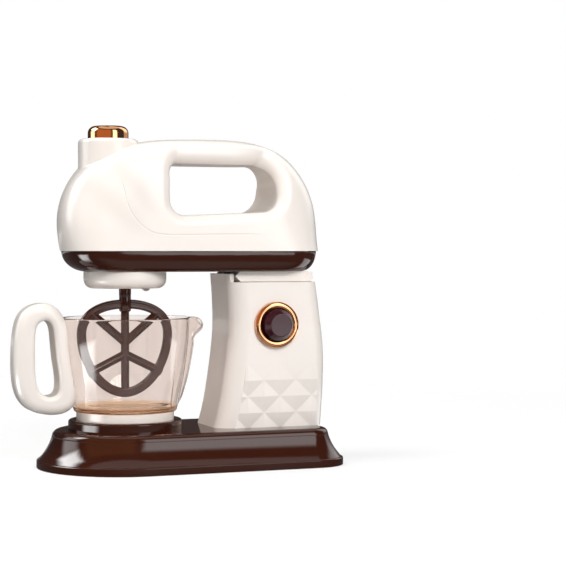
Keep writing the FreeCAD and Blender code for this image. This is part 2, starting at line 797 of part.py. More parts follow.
def coil(radius, wire, turns, start, length, direction):
    """A compression spring: a wire swept along a helix, its ends square to the axis."""
    helix = Part.makeHelix(length / turns, length, radius)
    circle = Part.Wire([Part.makeCircle(wire, Vector(radius, 0, 0), Vector(0, 1, 0))])
    body = Part.Wire(helix.Edges).makePipeShell([circle], True, True)
    turn = FreeCAD.Rotation(Vector(0, 0, 1), direction)
    body.Placement = FreeCAD.Placement(start, turn)
    return body


def make_power_spring():
    wire = 0.45
    start = board_y - board_thickness - wire - 0.1
    stop = button_flange_end + button_travel + moving_gap + wire
    return coil(8.6, wire, 4.0, Vector(knob_x, start, knob_z), start - stop, Vector(0, -1, 0))


def make_switch_board():
    """A circuit board on four posts, with the push switch behind the button and small parts."""
    plate = box((knob_x - board_half_x, knob_x + board_half_x), (board_y - board_thickness, board_y),
                (knob_z - board_half_z, knob_z + board_half_z))
    for dx, dz in board_posts:
        plate = plate.cut(bar_y(0.95, (board_y - 3.0, board_y + 1.0), knob_x + dx, knob_z + dz))
    switch_y = board_y - board_thickness
    switch_front = button_stem_end + button_travel + moving_gap
    switch = box((knob_x - 3.0, knob_x + 3.0), (switch_front, switch_y), (knob_z - 3.0, knob_z + 3.0))
    chip = box((knob_x - 6.0, knob_x + 2.0), (board_y, board_y + 1.4), (knob_z - 9.0, knob_z - 1.0))
    capacitor = bar_y(2.4, (board_y, board_y + 6.0), knob_x + 9.0, knob_z + 2.0)
    socket = box((knob_x - 12.0, knob_x - 5.0), (board_y, board_y + 4.0), (knob_z + 5.0, knob_z + 10.0))
    return join([plate, switch, chip, capacitor, socket])


# Head


def head_row(nose, length, half, height, inset, t):
    """One rib of the head: a superellipse arc from the crown line down to the side of the seam."""
    x0 = nose + inset
    span = length - 2.0 * inset
    crown_x, crown_z = head_crown(t, x0, span, height)
    low = nose + nose_length
    high = nose + length - tail_length
    side_x = low + (high - low) * t
    return crown_x, crown_z, side_x, between(section_powers, (crown_x - x0) / span)


def head_crown(t, x0, span, height):
    """The crown line at t from 0, the nose's foot, to 1, the tail's foot."""
    point = crown_curve.value(crown_curve.FirstParameter
                              + t * (crown_curve.LastParameter - crown_curve.FirstParameter))
    return x0 + point.x * span, seam_z + point.z * height


def head_half(inset):
    """The left half of the head's form, drawn in by inset: a spline skin through ribs and two flat faces."""
    rows = 29
    columns = 15
    half = head_width / 2.0 - inset
    height = head_height - inset
    grid = []
    for i in range(rows):
        t = i / (rows - 1.0)
        crown_x, crown_z, side_x, power = head_row(head_nose_x, head_length, half, height, inset, t)
        row = []
        for j in range(columns):
            along, across = quarter_curve(0.5 * math.pi * j / (columns - 1.0), power)
            if j == columns - 1:
                along, across = 0.0, 1.0
            row.append(Vector(side_x + (crown_x - side_x) * along, -half * across,
                              seam_z + (crown_z - seam_z) * along))
        grid.append(row)
    surface = Part.BSplineSurface()
    surface.interpolate(grid)
    skin = surface.toShape()
    nose_foot = grid[0][0]
    tail_foot = grid[-1][0]
    base_line = Part.LineSegment(tail_foot, nose_foot).toShape()
    flat_edges = [e for e in skin.Edges if e.BoundBox.ZMax < seam_z + 1e-4]
    crown_edges = [e for e in skin.Edges if e.BoundBox.YMin > -1e-4]
    bottom = Part.Face(Part.Wire(Part.__sortEdges__(flat_edges + [base_line])))
    middle = Part.Face(Part.Wire(Part.__sortEdges__(crown_edges + [base_line])))
    shell = Part.Shell([skin, bottom, middle])
    shell.sewShape()
    solid = Part.Solid(shell)
    if solid.Volume < 0:
        solid.reverse()
    return solid


def make_crown_curve():
    curve = Part.BSplineCurve()
    curve.interpolate([Vector(x, 0, z) for x, z in head_profile])
    return curve


crown_curve = make_crown_curve()


def grip_prism(grow):
    """The grip opening as a prism through the head, grown all round by a margin."""
    face = rounded_face(grip_hole, grip_corners, -head_width)
    if grow > 0.0:
        face = Part.Face(face.OuterWire.makeOffset2D(grow))
    return face.extrude(Vector(0, 2.0 * head_width, 0))


def open_grip(solid, grow, radius):
    """Cut the grip opening and round its edge on the side."""
    cut = solid.cut(grip_prism(grow))
    hole_x = [x for x, z in grip_hole]
    hole_z = [z for x, z in grip_hole]
    rim = []
    for edge in cut.Edges:
        bounds = edge.BoundBox
        inside_x = min(hole_x) - grow - 1.0 < bounds.XMin and bounds.XMax < max(hole_x) + grow + 1.0
        inside_z = min(hole_z) - grow - 1.0 < bounds.ZMin and bounds.ZMax < max(hole_z) + grow + 1.0
        if inside_x and inside_z and bounds.YMax < -8.0:
            rim.append(edge)
    return cut.makeFillet(radius, rim)


def make_head_half():
    """The left half shell with its bosses, before the screw holes."""
    form = head_half(0.0)
    outer = open_grip(form, 0.0, grip_edge_round)
    inner = open_grip(head_half(head_wall), head_wall, grip_edge_round - head_wall)
    middle = head_half(head_wall / 2.0)
    shell = outer.cut(inner).cut(side_groove(form))
    side = -head_width / 2.0
    bosses = []
    for x, y in tray_screws:
        if y < 0:
            web = box((x - 1.0, x + 1.0), (side, y), (seam_z, head_boss_top))
            bosses.append(join([post(boss_radius, (seam_z, head_boss_top), x, y), web]).common(middle))
    for x, z in head_cross:
        bosses.append(bar_y(boss_radius + 0.8, (side, 0.0), x, z).common(middle))
    shelf = post(shelf_radius, (collar_bottom - head_wall, collar_bottom), collar_x)
    shelf = shelf.cut(post(collar_radius - 3.0, (collar_bottom - 5.0, collar_bottom + 1.0), collar_x))
    bosses.append(shelf.common(middle))
    shell = join([shell] + bosses)
    return shell.cut(post(collar_radius + touch_gap, (collar_bottom, collar_top + 5.0), collar_x))


def side_groove(form):
    """A fine line round the grip's panel on the side, running out at both ends."""
    path = []
    for forward, rise, lift in side_line:
        x = bowl_x + forward
        z = seam_z + rise
        ray = Part.LineSegment(Vector(x, -head_width, z), Vector(x, -0.1, z)).toShape()
        path.append(Vector(x, form.common(ray).BoundBox.YMin - lift, z))
    spine = Part.Wire([smooth_edge(path)])
    section = Part.Wire([Part.makeCircle(side_line_radius, path[0], path[1] - path[0])])
    return spine.makePipeShell([section], True, False)


def finish_head_half(shell, side):
    """Screw holes: threads in the left half, free holes and sunk heads in the right half."""
    for x, y in tray_screws:
        shell = shell.cut(post(thread_hole, (seam_z - 1.0, head_boss_top - 2.0), x, y))
    for x, z in head_cross:
        if side < 0:
            shell = shell.cut(bar_y(thread_hole, (cross_tip - 1.0, 1.0), x, z))
        else:
            shell = shell.cut(bar_y(free_hole, (-1.0, head_width), x, z))
            shell = shell.cut(bar_y(recess_radius, (head_recess_y, head_width), x, z))
    return shell


def make_collar():
    """The ring round the top button, with a floor that guides the button's stem."""
    body = post(collar_radius, (collar_bottom, collar_top), collar_x)
    body = body.makeFillet(3.0, [e for e in body.Edges if e.BoundBox.ZMin > collar_top - 0.01])
    body = body.cut(post(top_button_radius + moving_gap + 0.1, (collar_floor, collar_top + 1.0), collar_x))
    hollow = (collar_bottom - 1.0, collar_floor - collar_floor_thickness)
    body = body.cut(post(collar_radius - 3.0, hollow, collar_x))
    return body.cut(post(top_stem_radius + 0.08, (collar_bottom, collar_floor + 1.0), collar_x))


def make_top_button():
    """A domed cap on a stem that ends in a catch under the collar's floor."""
    cap = post(top_button_radius, (top_button_bottom, top_button_top), collar_x)
    cap = cap.makeFillet(5.2, [e for e in cap.Edges if e.BoundBox.ZMin > top_button_top - 0.01])
    cap = cap.cut(post(top_button_radius - 2.0, (top_button_bottom - 1.0, top_button_top - 7.5), collar_x))
    catch_top = collar_floor - collar_floor_thickness - moving_gap
    stem = post(top_stem_radius, (catch_top - 2.0, top_button_top - 7.0), collar_x)
    catch = post(top_stem_radius + 1.4, (catch_top - 2.0, catch_top), collar_x)
    return join([cap, stem, catch])


def make_top_spring():
    wire = 0.5
    start = collar_floor + wire + 0.1
    stop = top_button_top - 7.5 - wire - 0.1
    return coil(4.6, wire, 5.0, Vector(collar_x, 0, start), stop - start, Vector(0, 0, 1))


def plan_points(nose, tail, half, z):
    """Points of a closed plan outline: superellipse quarters at nose and tail, straight sides between."""
    low = nose + nose_length * (half / (head_width / 2.0))
    high = tail - tail_length * (half / (head_width / 2.0))
    steps = 9
    quarter = [quarter_curve(0.5 * math.pi * i / steps, nose_power) for i in range(steps + 1)]
    points = []
    for along, across in quarter:
        points.append(Vector(high + (tail - high) * along, -half * across, z))
    for along, across in reversed(quarter):
        points.append(Vector(low + (nose - low) * along, -half * across, z))
    for along, across in quarter[1:]:
        points.append(Vector(low + (nose - low) * along, half * across, z))
    for along, across in list(reversed(quarter))[:-1]:
        points.append(Vector(high + (tail - high) * along, half * across, z))
    return points


def boat_solid(inset, low, high):
    """The tray's form drawn in by inset: plan outlines that close in towards the bottom."""
    tail_x = head_nose_x + head_length
    wires = []
    steps = 7
    for i in range(steps):
        angle = 0.5 * math.pi * i / (steps - 1.0)
        z = high - (high - low) * math.sin(angle)
        draw = 1.0 - math.cos(angle)
        nose = head_nose_x + tray_step + inset + draw * tray_nose_inset
        tail = tail_x - tray_step - inset - draw * tray_tail_inset
        half = head_width / 2.0 - tray_step - inset - draw * tray_side_inset
        curve = Part.BSplineCurve()
        curve.interpolate(plan_points(nose, tail, half, z), PeriodicFlag=True)
        wires.append(Part.Wire([curve.toShape()]))
    return Part.makeLoft(wires, True, False)


def make_tray():
    outer = boat_solid(0.0, tray_bottom, seam_z)
    inner = boat_solid(tray_wall, tray_floor, seam_z)
    parts = [outer.cut(inner)]
    for x, y in tray_screws:
        parts.append(post(boss_radius + 0.6, (tray_bottom + 0.5, seam_z), x, y))
    for x, y in cover_screws:
        parts.append(post(boss_radius - 0.4, (tray_bottom + 0.5, tray_floor + 6.5), x, y))
    parts.append(post(boss_radius, (tray_bottom + 0.5, tray_floor + 0.4), idler_x))
    parts.append(box((hook_x, hook_x + hook_thickness), (-hook_half_width, hook_half_width),
                     (hook_bottom, tray_bottom + 1.0)))
    tray = join(parts)
    for x, y in tray_screws:
        tray = tray.cut(post(free_hole, (tray_bottom - 1.0, seam_z + 1.0), x, y))
        tray = tray.cut(post(recess_radius, (tray_bottom - 1.0, tray_bottom + screw_sink), x, y))
    for x, y in cover_screws:
        tray = tray.cut(post(thread_hole, (tray_bottom - 1.0, tray_floor + 5.0), x, y))
    for x, y in neck_screws:
        tray = tray.cut(post(free_hole, (tray_bottom - 1.0, tray_floor + 1.0), x, y))
    for x, y in gear_posts:
        tray = tray.cut(post(free_hole, (tray_bottom - 1.0, tray_floor + 1.0), x, y))
        tray = tray.cut(post(screw_head + 0.3, (tray_bottom - 1.0, tray_bottom + head_sink), x, y))
    tray = tray.cut(post(axle_radius + 0.02, (tray_bottom + 0.6, tray_floor + 1.0), idler_x))
    tray = tray.cut(post(bush_radius + touch_gap, (tray_bottom - 1.0, tray_floor + 1.0), bowl_x))
    return tray.cut(post(lead_radius + lead_play, (tray_bottom - 1.0, tray_floor + 1.0), lead_exit_x, lead_y))


def make_neck():
    """The slab under the tray, its knuckle on the hinge pin and a cheek outside each ear."""
    low = column_top + moving_gap + 0.05
    nose_z = (low + tray_bottom) / 2.0
    step_z = nose_z + 0.6
    back = neck_front + 3.6
    lower = [(neck_front, nose_z), (back, low), (neck_rear, low), (neck_rear, step_z), (neck_front, step_z)]
    slab = upright_face(lower, -neck_half_width).extrude(Vector(0, 2.0 * neck_half_width, 0))
    upper_half = neck_half_width - neck_step
    upper = [(neck_front, step_z), (back, tray_bottom), (neck_rear, tray_bottom), (neck_rear, step_z)]
    block = upright_face(upper, -upper_half).extrude(Vector(0, 2.0 * upper_half, 0))
    top = tray_bottom - moving_gap
    half = ear_inner - moving_gap
    link = box((neck_rear - 1.0, hinge_x), (-half, half), (low, top))
    cap = box((neck_rear - 1.0, hinge_x + hinge_radius), (-half, half), (hinge_z, top))
    parts = [slab, block, link, bar_y(hinge_radius, (-half, half), hinge_x, hinge_z), cap]
    for side in (-1.0, 1.0):
        inner = ear_outer + moving_gap
        low_y, high_y = sorted((side * inner, side * neck_half_width))
        low_upper, high_upper = sorted((side * inner, side * upper_half))
        parts.append(box((neck_rear - 1.0, hinge_x), (low_y, high_y), (low, step_z)))
        parts.append(bar_y(hinge_z - low, (low_y, high_y), hinge_x, hinge_z))
        parts.append(box((neck_rear - 1.0, hinge_x + hinge_z - low), (low_upper, high_upper), (hinge_z, top)))
    neck = join(parts)
    neck = neck.cut(bar_y(hinge_pin_radius + running_gap, (-half - 1.0, half + 1.0), hinge_x, hinge_z))
    notch = hook_half_width + moving_gap
    neck = neck.cut(box((neck_front - 1.0, hook_x + hook_thickness + moving_gap), (-notch, notch),
                        (low - 1.0, tray_bottom + 1.0)))
    for x, y in neck_screws:
        neck = neck.cut(post(thread_hole, (low + 1.2, tray_bottom + 1.0), x, y))
    return neck.cut(post(lead_radius + lead_play, (low - 1.0, tray_bottom + 1.0), lead_exit_x, lead_y))


def make_drive_cover():
    """A round cup under the tray with rounded lower edge, open at the top."""
    outer = post(cover_radius, (cover_bottom, tray_bottom), bowl_x)
    outer = outer.makeFillet(cover_round, [e for e in outer.Edges if e.BoundBox.ZMax < cover_bottom + 0.01])
    inner = post(cover_radius - cover_wall, (cover_bottom + cover_wall, tray_bottom + 1.0), bowl_x)
    inner = inner.makeFillet(cover_round - 1.4,
                             [e for e in inner.Edges if e.BoundBox.ZMax < cover_bottom + cover_wall + 0.01])
    middle = post(cover_radius - cover_wall / 2.0, (cover_bottom + cover_wall / 2.0, tray_bottom), bowl_x)
    middle = middle.makeFillet(cover_round - 1.0,
                               [e for e in middle.Edges if e.BoundBox.ZMax < cover_bottom + cover_wall])
    parts = [outer.cut(inner)]
    for x, y in cover_screws:
        parts.append(post(boss_radius + 0.8, (cover_bottom, tray_bottom), x, y).common(middle))
    for side in (-1.0, 1.0):
        parts.append(post(1.5, (cover_bottom + 1.0, light_board_z), light_x, side * (light_radius + 3.2)))
    cover = join(parts)
    for x, y in cover_screws:
        cover = cover.cut(post(free_hole, (cover_bottom - 1.0, tray_bottom + 1.0), x, y))
        cover = cover.cut(post(recess_radius, (cover_bottom - 1.0, cover_bottom + screw_sink), x, y))
    cover = cover.cut(post(light_radius + touch_gap, (cover_bottom - 1.0, cover_bottom + 3.0), light_x))
    return cover.cut(post(stem_radius + 0.5, (cover_bottom - 1.0, cover_bottom + 3.0), bowl_x))


def make_light_lens():
    """A clear dome below the cover with a flange inside it."""
    floor = cover_bottom + cover_wall
    body = post(light_radius, (cover_bottom, floor + 0.2), light_x)
    flange = post(light_radius + 1.0, (floor + touch_gap, floor + 1.0), light_x)
    drop = cover_bottom - light_bottom
    ball = (light_radius ** 2 + drop ** 2) / (2.0 * drop)
    dome = Part.makeSphere(ball, Vector(light_x, 0, light_bottom + ball))
    dome = dome.common(post(light_radius, (light_bottom - 1.0, cover_bottom + 0.2), light_x))
    return join([body, flange, dome])


def make_light_board():
    """A small board on the cover's two posts with the lamp under it."""
    board = box((light_x - 4.5, light_x + 4.5), (-8.2, 8.2), (light_board_z, light_board_z + 1.2))
    lamp = post(2.2, (cover_bottom + cover_wall + 1.3, light_board_z + 0.1), light_x)
    return join([board, lamp])


# Gear train


def gear_outline(teeth, phase, z):
    """A spur gear's outline: four points a tooth on the flanks, root and tip lands between."""
    pitch = gear_module * teeth / 2.0
    tip = pitch + 0.9 * gear_module
    root = pitch - 1.2 * gear_module
    thin = 0.93
    step = 2.0 * math.pi / teeth
    points = []
    for i in range(teeth):
        middle = phase + i * step
        root_half = step * 0.25 * thin * 1.42
        pitch_half = step * 0.25 * thin
        tip_half = step * 0.25 * thin * 0.46
        for radius, offset in ((root, -root_half), (pitch, -pitch_half), (tip, -tip_half),
                               (tip, tip_half), (pitch, pitch_half), (root, root_half)):
            angle = middle + offset
            points.append(Vector(radius * math.cos(angle), radius * math.sin(angle), z))
    return Part.Face(Part.makePolygon(points + points[:1]))


def gear(teeth, phase_steps, z, x):
    """A gear on an upright axis at x, its teeth turned by a number of tooth steps."""
    phase = phase_steps * 2.0 * math.pi / teeth
    solid = gear_outline(teeth, phase, z[0]).extrude(Vector(0, 0, z[1] - z[0]))
    solid.translate(Vector(x, 0, 0))
    return solid


def make_output_gear():
    wheel = gear(output_teeth, 0.0, output_gear_z, bowl_x)
    groove = post(output_radius - 3.0, (output_gear_z[1] - 1.0, output_gear_z[1] + 1.0), bowl_x)
    groove = groove.cut(post(6.0, (output_gear_z[0], output_gear_z[1] + 1.0), bowl_x))
    wheel = wheel.cut(groove)
    return wheel.cut(post(spindle_radius + 0.02, (output_gear_z[0] - 1.0, output_gear_z[1] + 1.0), bowl_x))


def make_idler_gear():
    small = gear(small_teeth, 0.5 if small_teeth % 2 == 0 else 0.0, small_gear_z, idler_x)
    big = gear(big_teeth, 0.0, big_gear_z, idler_x)
    hub = post(small_radius - 1.4, (small_gear_z[1] - 1.0, big_gear_z[0] + 1.0), idler_x)
    wheel = join([small, hub, big])
    return wheel.cut(post(axle_radius + running_gap, (small_gear_z[0] - 1.0, big_gear_z[1] + 1.0), idler_x))


def make_pinion():
    wheel = gear(pinion_teeth, 0.5 if pinion_teeth % 2 == 0 else 0.0, pinion_z, motor_x)
    return wheel.cut(post(motor_shaft_radius + 0.01, (pinion_z[0] - 1.0, pinion_z[1] + 1.0), motor_x))


def make_motor():
    """A small can motor with flat sides and a boss where its shaft leaves."""
    low = gear_plate_z[1]
    top = low + motor_length
    can = post(motor_radius, (low, top), motor_x)
    flats = (-motor_half_depth, motor_half_depth)
    can = can.common(box((motor_x - motor_radius, motor_x + motor_radius), flats, (low, top)))
    parts = [can, post(3.0, (low - 1.5, low + 0.5), motor_x)]
    for side in (-5.0, 5.0):
        tab_x = (motor_x + side - 1.0, motor_x + side + 1.0)
        parts.append(box(tab_x, (motor_half_depth - 0.3, motor_half_depth + 2.0), (top - 5.0, top - 4.4)))
    return join(parts).cut(post(motor_shaft_radius + 0.05, (low - 3.0, top - 1.0), motor_x))


def make_gear_plate():
    """The plate over the gears: it carries the motor, the axle's top and the spindle's top."""
    low, high = gear_plate_z
    plate = box((gear_posts[0][0] - 4.0, motor_x + motor_radius + 5.0), (-22.0, 22.0), (low, high))
    parts = [plate]
    for x, y in gear_posts:
        parts.append(post(gear_post_radius, (tray_floor, high), x, y))
    rim = box((motor_x - motor_radius - 1.6, motor_x + motor_radius + 1.6),
              (-motor_half_depth - 1.6, motor_half_depth + 1.6), (high - 0.5, high + 7.0))
    parts.append(rim)
    body = join(parts)
    pocket = box((motor_x - motor_radius - 0.1, motor_x + motor_radius + 0.1),
                 (-motor_half_depth - 0.1, motor_half_depth + 0.1), (high, high + 8.0))
    body = body.cut(pocket)
    for x, y in gear_posts:
        body = body.cut(post(thread_hole, (tray_floor - 1.0, low - 1.0), x, y))
    for x, y in tray_screws:
        body = body.cut(post(boss_radius + 0.6 + moving_gap, (low - 1.0, high + 1.0), x, y))
    body = body.cut(post(3.1, (low - 1.0, high + 1.0), motor_x))
    body = body.cut(post(axle_radius + 0.02, (low - 1.0, high + 1.0), idler_x))
    return body.cut(post(spindle_radius + running_gap, (low - 1.0, high + 1.0), bowl_x))


def make_spindle():
    """The upright shaft: gear seat above, a flatted end below that drives the beater."""
    shaft = post(spindle_radius, (spindle_bottom, gear_plate_z[1] + 1.6), bowl_x)
    flat = box((bowl_x - 4.0, bowl_x + 4.0), (spindle_radius - 0.7, spindle_radius + 1.0),
               (spindle_bottom - 1.0, tray_bottom - 4.0))
    return shaft.cut(flat)


def make_bush():
    bush = post(bush_radius, (tray_bottom, tray_floor + 0.2), bowl_x)
    flange = post(bush_radius + 1.4, (tray_floor, tray_floor + 0.6), bowl_x)
    bore = post(spindle_radius + running_gap, (tray_bottom - 1.0, tray_floor + 2.0), bowl_x)
    return join([bush, flange]).cut(bore)


# Beater


def egg_points(inset):
    """The beater's outline drawn in by inset: an upper and a lower superellipse half with one width."""
    upper_power = 2.25
    lower_power = 1.9
    half = beater_half_width - inset
    up = beater_top - beater_widest_z - inset * beater_crown_share
    down = beater_widest_z - beater_bottom - inset
    steps = 8
    points = []
    for i in range(steps):
        c, s = quarter_curve(0.5 * math.pi * i / steps, upper_power)
        points.append((half * c, up * s))
    for i in range(steps):
        c, s = quarter_curve(0.5 * math.pi * i / steps, upper_power)
        points.append((-half * s, up * c))
    for i in range(steps):
        c, s = quarter_curve(0.5 * math.pi * i / steps, lower_power)
        points.append((-half * c, -down * s))
    for i in range(steps):
        c, s = quarter_curve(0.5 * math.pi * i / steps, lower_power)
        points.append((half * s, -down * c))
    return points


def egg_solid(inset, half_y):
    points = [Vector(bowl_x + x, -half_y, beater_widest_z + z) for x, z in egg_points(inset)]
    return closed_spline_face(points).extrude(Vector(0, 2.0 * half_y, 0))


def strut(start, end, width, half_y):
    """A flat bar between two (x, z) points."""
    a = Vector(bowl_x + start[0], -half_y, start[1])
    b = Vector(bowl_x + end[0], -half_y, end[1])
    run = b - a
    side = Vector(-run.z, 0, run.x).normalize() * (width / 2.0)
    corners = [a + side, b + side, b - side, a - side]
    return Part.Face(Part.makePolygon(corners + corners[:1])).extrude(Vector(0, 2.0 * half_y, 0))


def make_beater():
    """An egg-shaped rim with a centre rib, two pairs of slanted ribs and a round socket stem."""
    rim = egg_solid(0.0, beater_thickness / 2.0).cut(egg_solid(beater_rim, beater_thickness))
    half = beater_thickness / 2.0
    ribs = [strut((0.0, beater_bottom + 4.0), (0.0, beater_top - 2.0), beater_rib, half)]
    for side in (-1.0, 1.0):
        for joint_z, end in ((upper_joint_z, upper_rib_end), (lower_joint_z, lower_rib_end)):
            ribs.append(strut((0.0, joint_z), (side * end[0], end[1]), beater_rib, half))
    inside = egg_solid(beater_rim / 2.0, beater_thickness)
    ribs = [rib.common(inside) for rib in ribs]
    body = join([rim] + ribs)
    stem = post(stem_radius, (beater_top - 9.0, stem_top), bowl_x)
    body = join([body, stem])
    for side in (-1.0, 1.0):
        groove = egg_solid(1.5, 1.0).cut(egg_solid(beater_rim - 1.5, 3.0))
        groove.translate(Vector(0, side * (half + 1.0 - (half - beater_web / 2.0)), 0))
        body = body.cut(groove.cut(post(stem_radius + 0.6, (beater_top - 12.0, stem_top), bowl_x)))
    bore = post(spindle_radius + running_gap, (spindle_bottom - 0.4, stem_top + 1.0), bowl_x)
    key = box((bowl_x - 4.0, bowl_x + 4.0), (spindle_radius - 0.7 + running_gap, spindle_radius + 1.0),
              (spindle_bottom - 1.0, stem_top + 1.0))
    return body.cut(bore.cut(key))


# Bowl


def bowl_solid(inset, floor):
    """The bowl's turned form, drawn in by inset, from a floor height up to the rim."""
    foot_z = bowl_base
    rim_r = bowl_rim_radius
    top = bowl_rim_z + (1.0 if inset > 0 else 0.0)
    points = [Vector(bowl_x + r - inset, 0, bowl_base + rise) for rise, r in bowl_profile]
    wall = smooth_edge(points)
    edges = [wall, Part.LineSegment(points[0], Vector(bowl_x, 0, foot_z)).toShape()]
    if inset > 0:
        edges.append(Part.LineSegment(points[-1], Vector(bowl_x + rim_r - inset, 0, top)).toShape())
    edges.append(Part.LineSegment(Vector(bowl_x + rim_r - inset, 0, top), Vector(bowl_x, 0, top)).toShape())
    edges.append(Part.LineSegment(Vector(bowl_x, 0, top), Vector(bowl_x, 0, foot_z)).toShape())
    edges = [e for e in edges if e.Length > 1e-6]
    face = Part.Face(Part.Wire(Part.__sortEdges__(edges)))
    solid = face.revolve(Vector(bowl_x, 0, 0), Vector(0, 0, 1), 360)
    if floor > foot_z:
        solid = solid.cut(post(100.0, (foot_z - 1.0, floor), bowl_x))
    return solid


def spout_stack(sections, inset):
    """A loft through blunt horizontal tongues of (height over the bowl's base, reach, half width)."""
    wires = []
    for rise, reach, half in sections:
        z = bowl_base + rise
        back = bowl_x + 30.0
        tip = bowl_x + reach - inset
        h = half - inset * 0.8
        shoulder = back + (tip - back) * 0.62
        points = [Vector(back, -h * 1.25, z), Vector(shoulder, -h * 0.94, z), Vector(tip - 2.2, -h * 0.42, z),
                  Vector(tip, 0, z), Vector(tip - 2.2, h * 0.42, z), Vector(shoulder, h * 0.94, z),
                  Vector(back, h * 1.25, z)]
        wires.append(Part.Wire([smooth_edge(points), Part.LineSegment(points[-1], points[0]).toShape()]))
    return Part.makeLoft(wires, True, False)


def spout_solid(inset):
    """The pouring lip: a ridge that grows up the wall and a beak on top of it."""
    return join([spout_stack(spout_ridge, inset), spout_stack(spout_beak, inset)])


def lip_cut():
    """All that lies above the rim, with a round shoulder down to the beak's tip."""
    side = -bowl_rim_radius - 10.0
    tip_z = bowl_rim_z - spout_drop - 0.5
    lip_start = Vector(bowl_x + spout_reach - 8.6, side, bowl_rim_z)
    lip_crown = Vector(bowl_x + spout_reach - 1.8, side, bowl_rim_z - 3.4)
    lip_end = Vector(bowl_x + spout_reach + 1.4, side, tip_z)
    far = Vector(lip_end.x + 20.0, side, tip_z)
    corner = Vector(far.x, side, bowl_rim_z + 5.0)
    back = Vector(bowl_x - bowl_rim_radius - 30.0, side, corner.z)
    start = Vector(back.x, side, bowl_rim_z)
    outline = [Part.LineSegment(start, lip_start).toShape()]
    outline.append(Part.Arc(lip_start, lip_crown, lip_end).toShape())
    for first, last in ((lip_end, far), (far, corner), (corner, back), (back, start)):
        outline.append(Part.LineSegment(first, last).toShape())
    return Part.Face(Part.Wire(outline)).extrude(Vector(0, -2.0 * side, 0))


def make_bowl():
    outer = bowl_solid(0.0, bowl_base)
    inner = bowl_solid(bowl_wall, bowl_floor)
    body = join([outer, spout_solid(0.0)]).cut(lip_cut())
    return body.cut(join([inner, spout_solid(bowl_wall)]))


def make_bowl_foot():
    """The cream ring that the bowl stands on, hollow below."""
    foot = post(foot_radius, (foot_bottom, bowl_base), bowl_x)
    return foot.cut(post(foot_radius - foot_wall, (foot_bottom - 1.0, bowl_base - foot_wall), bowl_x))


def make_bowl_handle():
    """A closed D ring, rounded all round, cut to the bowl's wall."""
    y = -handle_half_thickness
    depth = Vector(0, 2.0 * handle_half_thickness, 0)
    outside = [Vector(bowl_x + forward, y, bowl_base + rise) for forward, rise in handle_outer]
    inside = [Vector(bowl_x + forward, y, bowl_base + rise) for forward, rise in handle_hole]
    ring = closed_spline_face(outside).extrude(depth)
    ring = ring.makeFillet(handle_outer_round, [e for e in ring.Edges if e.BoundBox.YLength < 1e-6])
    ring = ring.cut(closed_spline_face(inside).extrude(depth))
    low = min(point.x for point in inside) - 2.0
    high = max(point.x for point in inside) + 2.0
    flat = [e for e in ring.Edges if e.BoundBox.YLength < 1e-3]
    rims = [e for e in flat if e.BoundBox.XMin > low and e.BoundBox.XMax < high]
    ring = ring.makeFillet(handle_hole_round, rims)
    keep_out = bowl_solid(-wall_gap, bowl_base)
    plug = post(foot_radius + wall_gap, (foot_bottom - 5.0, bowl_base), bowl_x)
    above = post(bowl_rim_radius + wall_gap, (bowl_rim_z - 0.5, bowl_rim_z + 30.0), bowl_x)
    return ring.cut(keep_out).cut(plug).cut(above)


# Leads


def lead(points):
    """A wire along straight runs joined by tangent arcs."""
    edges = []
    last = points[0]
    for i in range(1, len(points) - 1):
        before = points[i - 1] - points[i]
        after = points[i + 1] - points[i]
        half = before.getAngle(after) / 2.0
        reach = 0.45 * min(before.Length, after.Length)
        radius = reach * math.tan(half)
        before.normalize()
        after.normalize()
        middle = (before + after).normalize()
        start = points[i] + before * reach
        stop = points[i] + after * reach
        crown = points[i] + middle * (radius / math.sin(half) - radius)
        edges.append(Part.LineSegment(last, start).toShape())
        edges.append(Part.Arc(start, crown, stop).toShape())
        last = stop
    edges.append(Part.LineSegment(last, points[-1]).toShape())
    spine = Part.Wire(edges)
    direction = points[1] - points[0]
    section = Part.Wire([Part.makeCircle(lead_radius, points[0], direction)])
    return spine.makePipeShell([section], True, False)


def make_motor_leads():
    y = motor_half_depth + 3.4
    top = gear_plate_z[1] + motor_length - 4.7
    return lead([Vector(motor_x + 1.0, y, top), Vector(motor_x + 16.0, y + 1.0, top - 6.0),
                 Vector(motor_x + 26.0, y, top - 20.0),
                 Vector(lead_exit_x - 14.0, lead_y + 2.0, tray_floor + 5.0),
                 Vector(lead_exit_x, lead_y, tray_floor + 4.0),
                 Vector(lead_exit_x, lead_y, tray_floor - 1.5)])


def make_battery_leads():
    return lead([Vector(lead_x, lead_y, battery_top + battery_wall + 0.4),
                 Vector(lead_x, lead_y + 1.0, base_height + 20.6),
                 Vector(lead_x + 3.0, lead_y + 3.0, base_height + 44.6),
                 Vector(knob_x - 7.0, board_y + 16.0, knob_z - 6.0),
                 Vector(knob_x - 8.0, board_y + 7.0, knob_z + 3.0)])


# Fasteners


def pan_screw(top, length, direction):
    """One of the common screws."""
    return screw(screw_head, screw_head_height, screw_shank, length, top, direction)


def upright_group(places, head_z, length, direction):
    """Upright screws of one size at (x, y) places, their heads' outer faces at one height."""
    return Part.makeCompound([pan_screw(Vector(x, y, head_z), length, direction) for x, y in places])


def cross_group(places, head_y, length):
    """Screws of one size across the halves at (x, z) places, put in from the right side."""
    return Part.makeCompound([pan_screw(Vector(x, head_y, z), length, Vector(0, -1, 0)) for x, z in places])


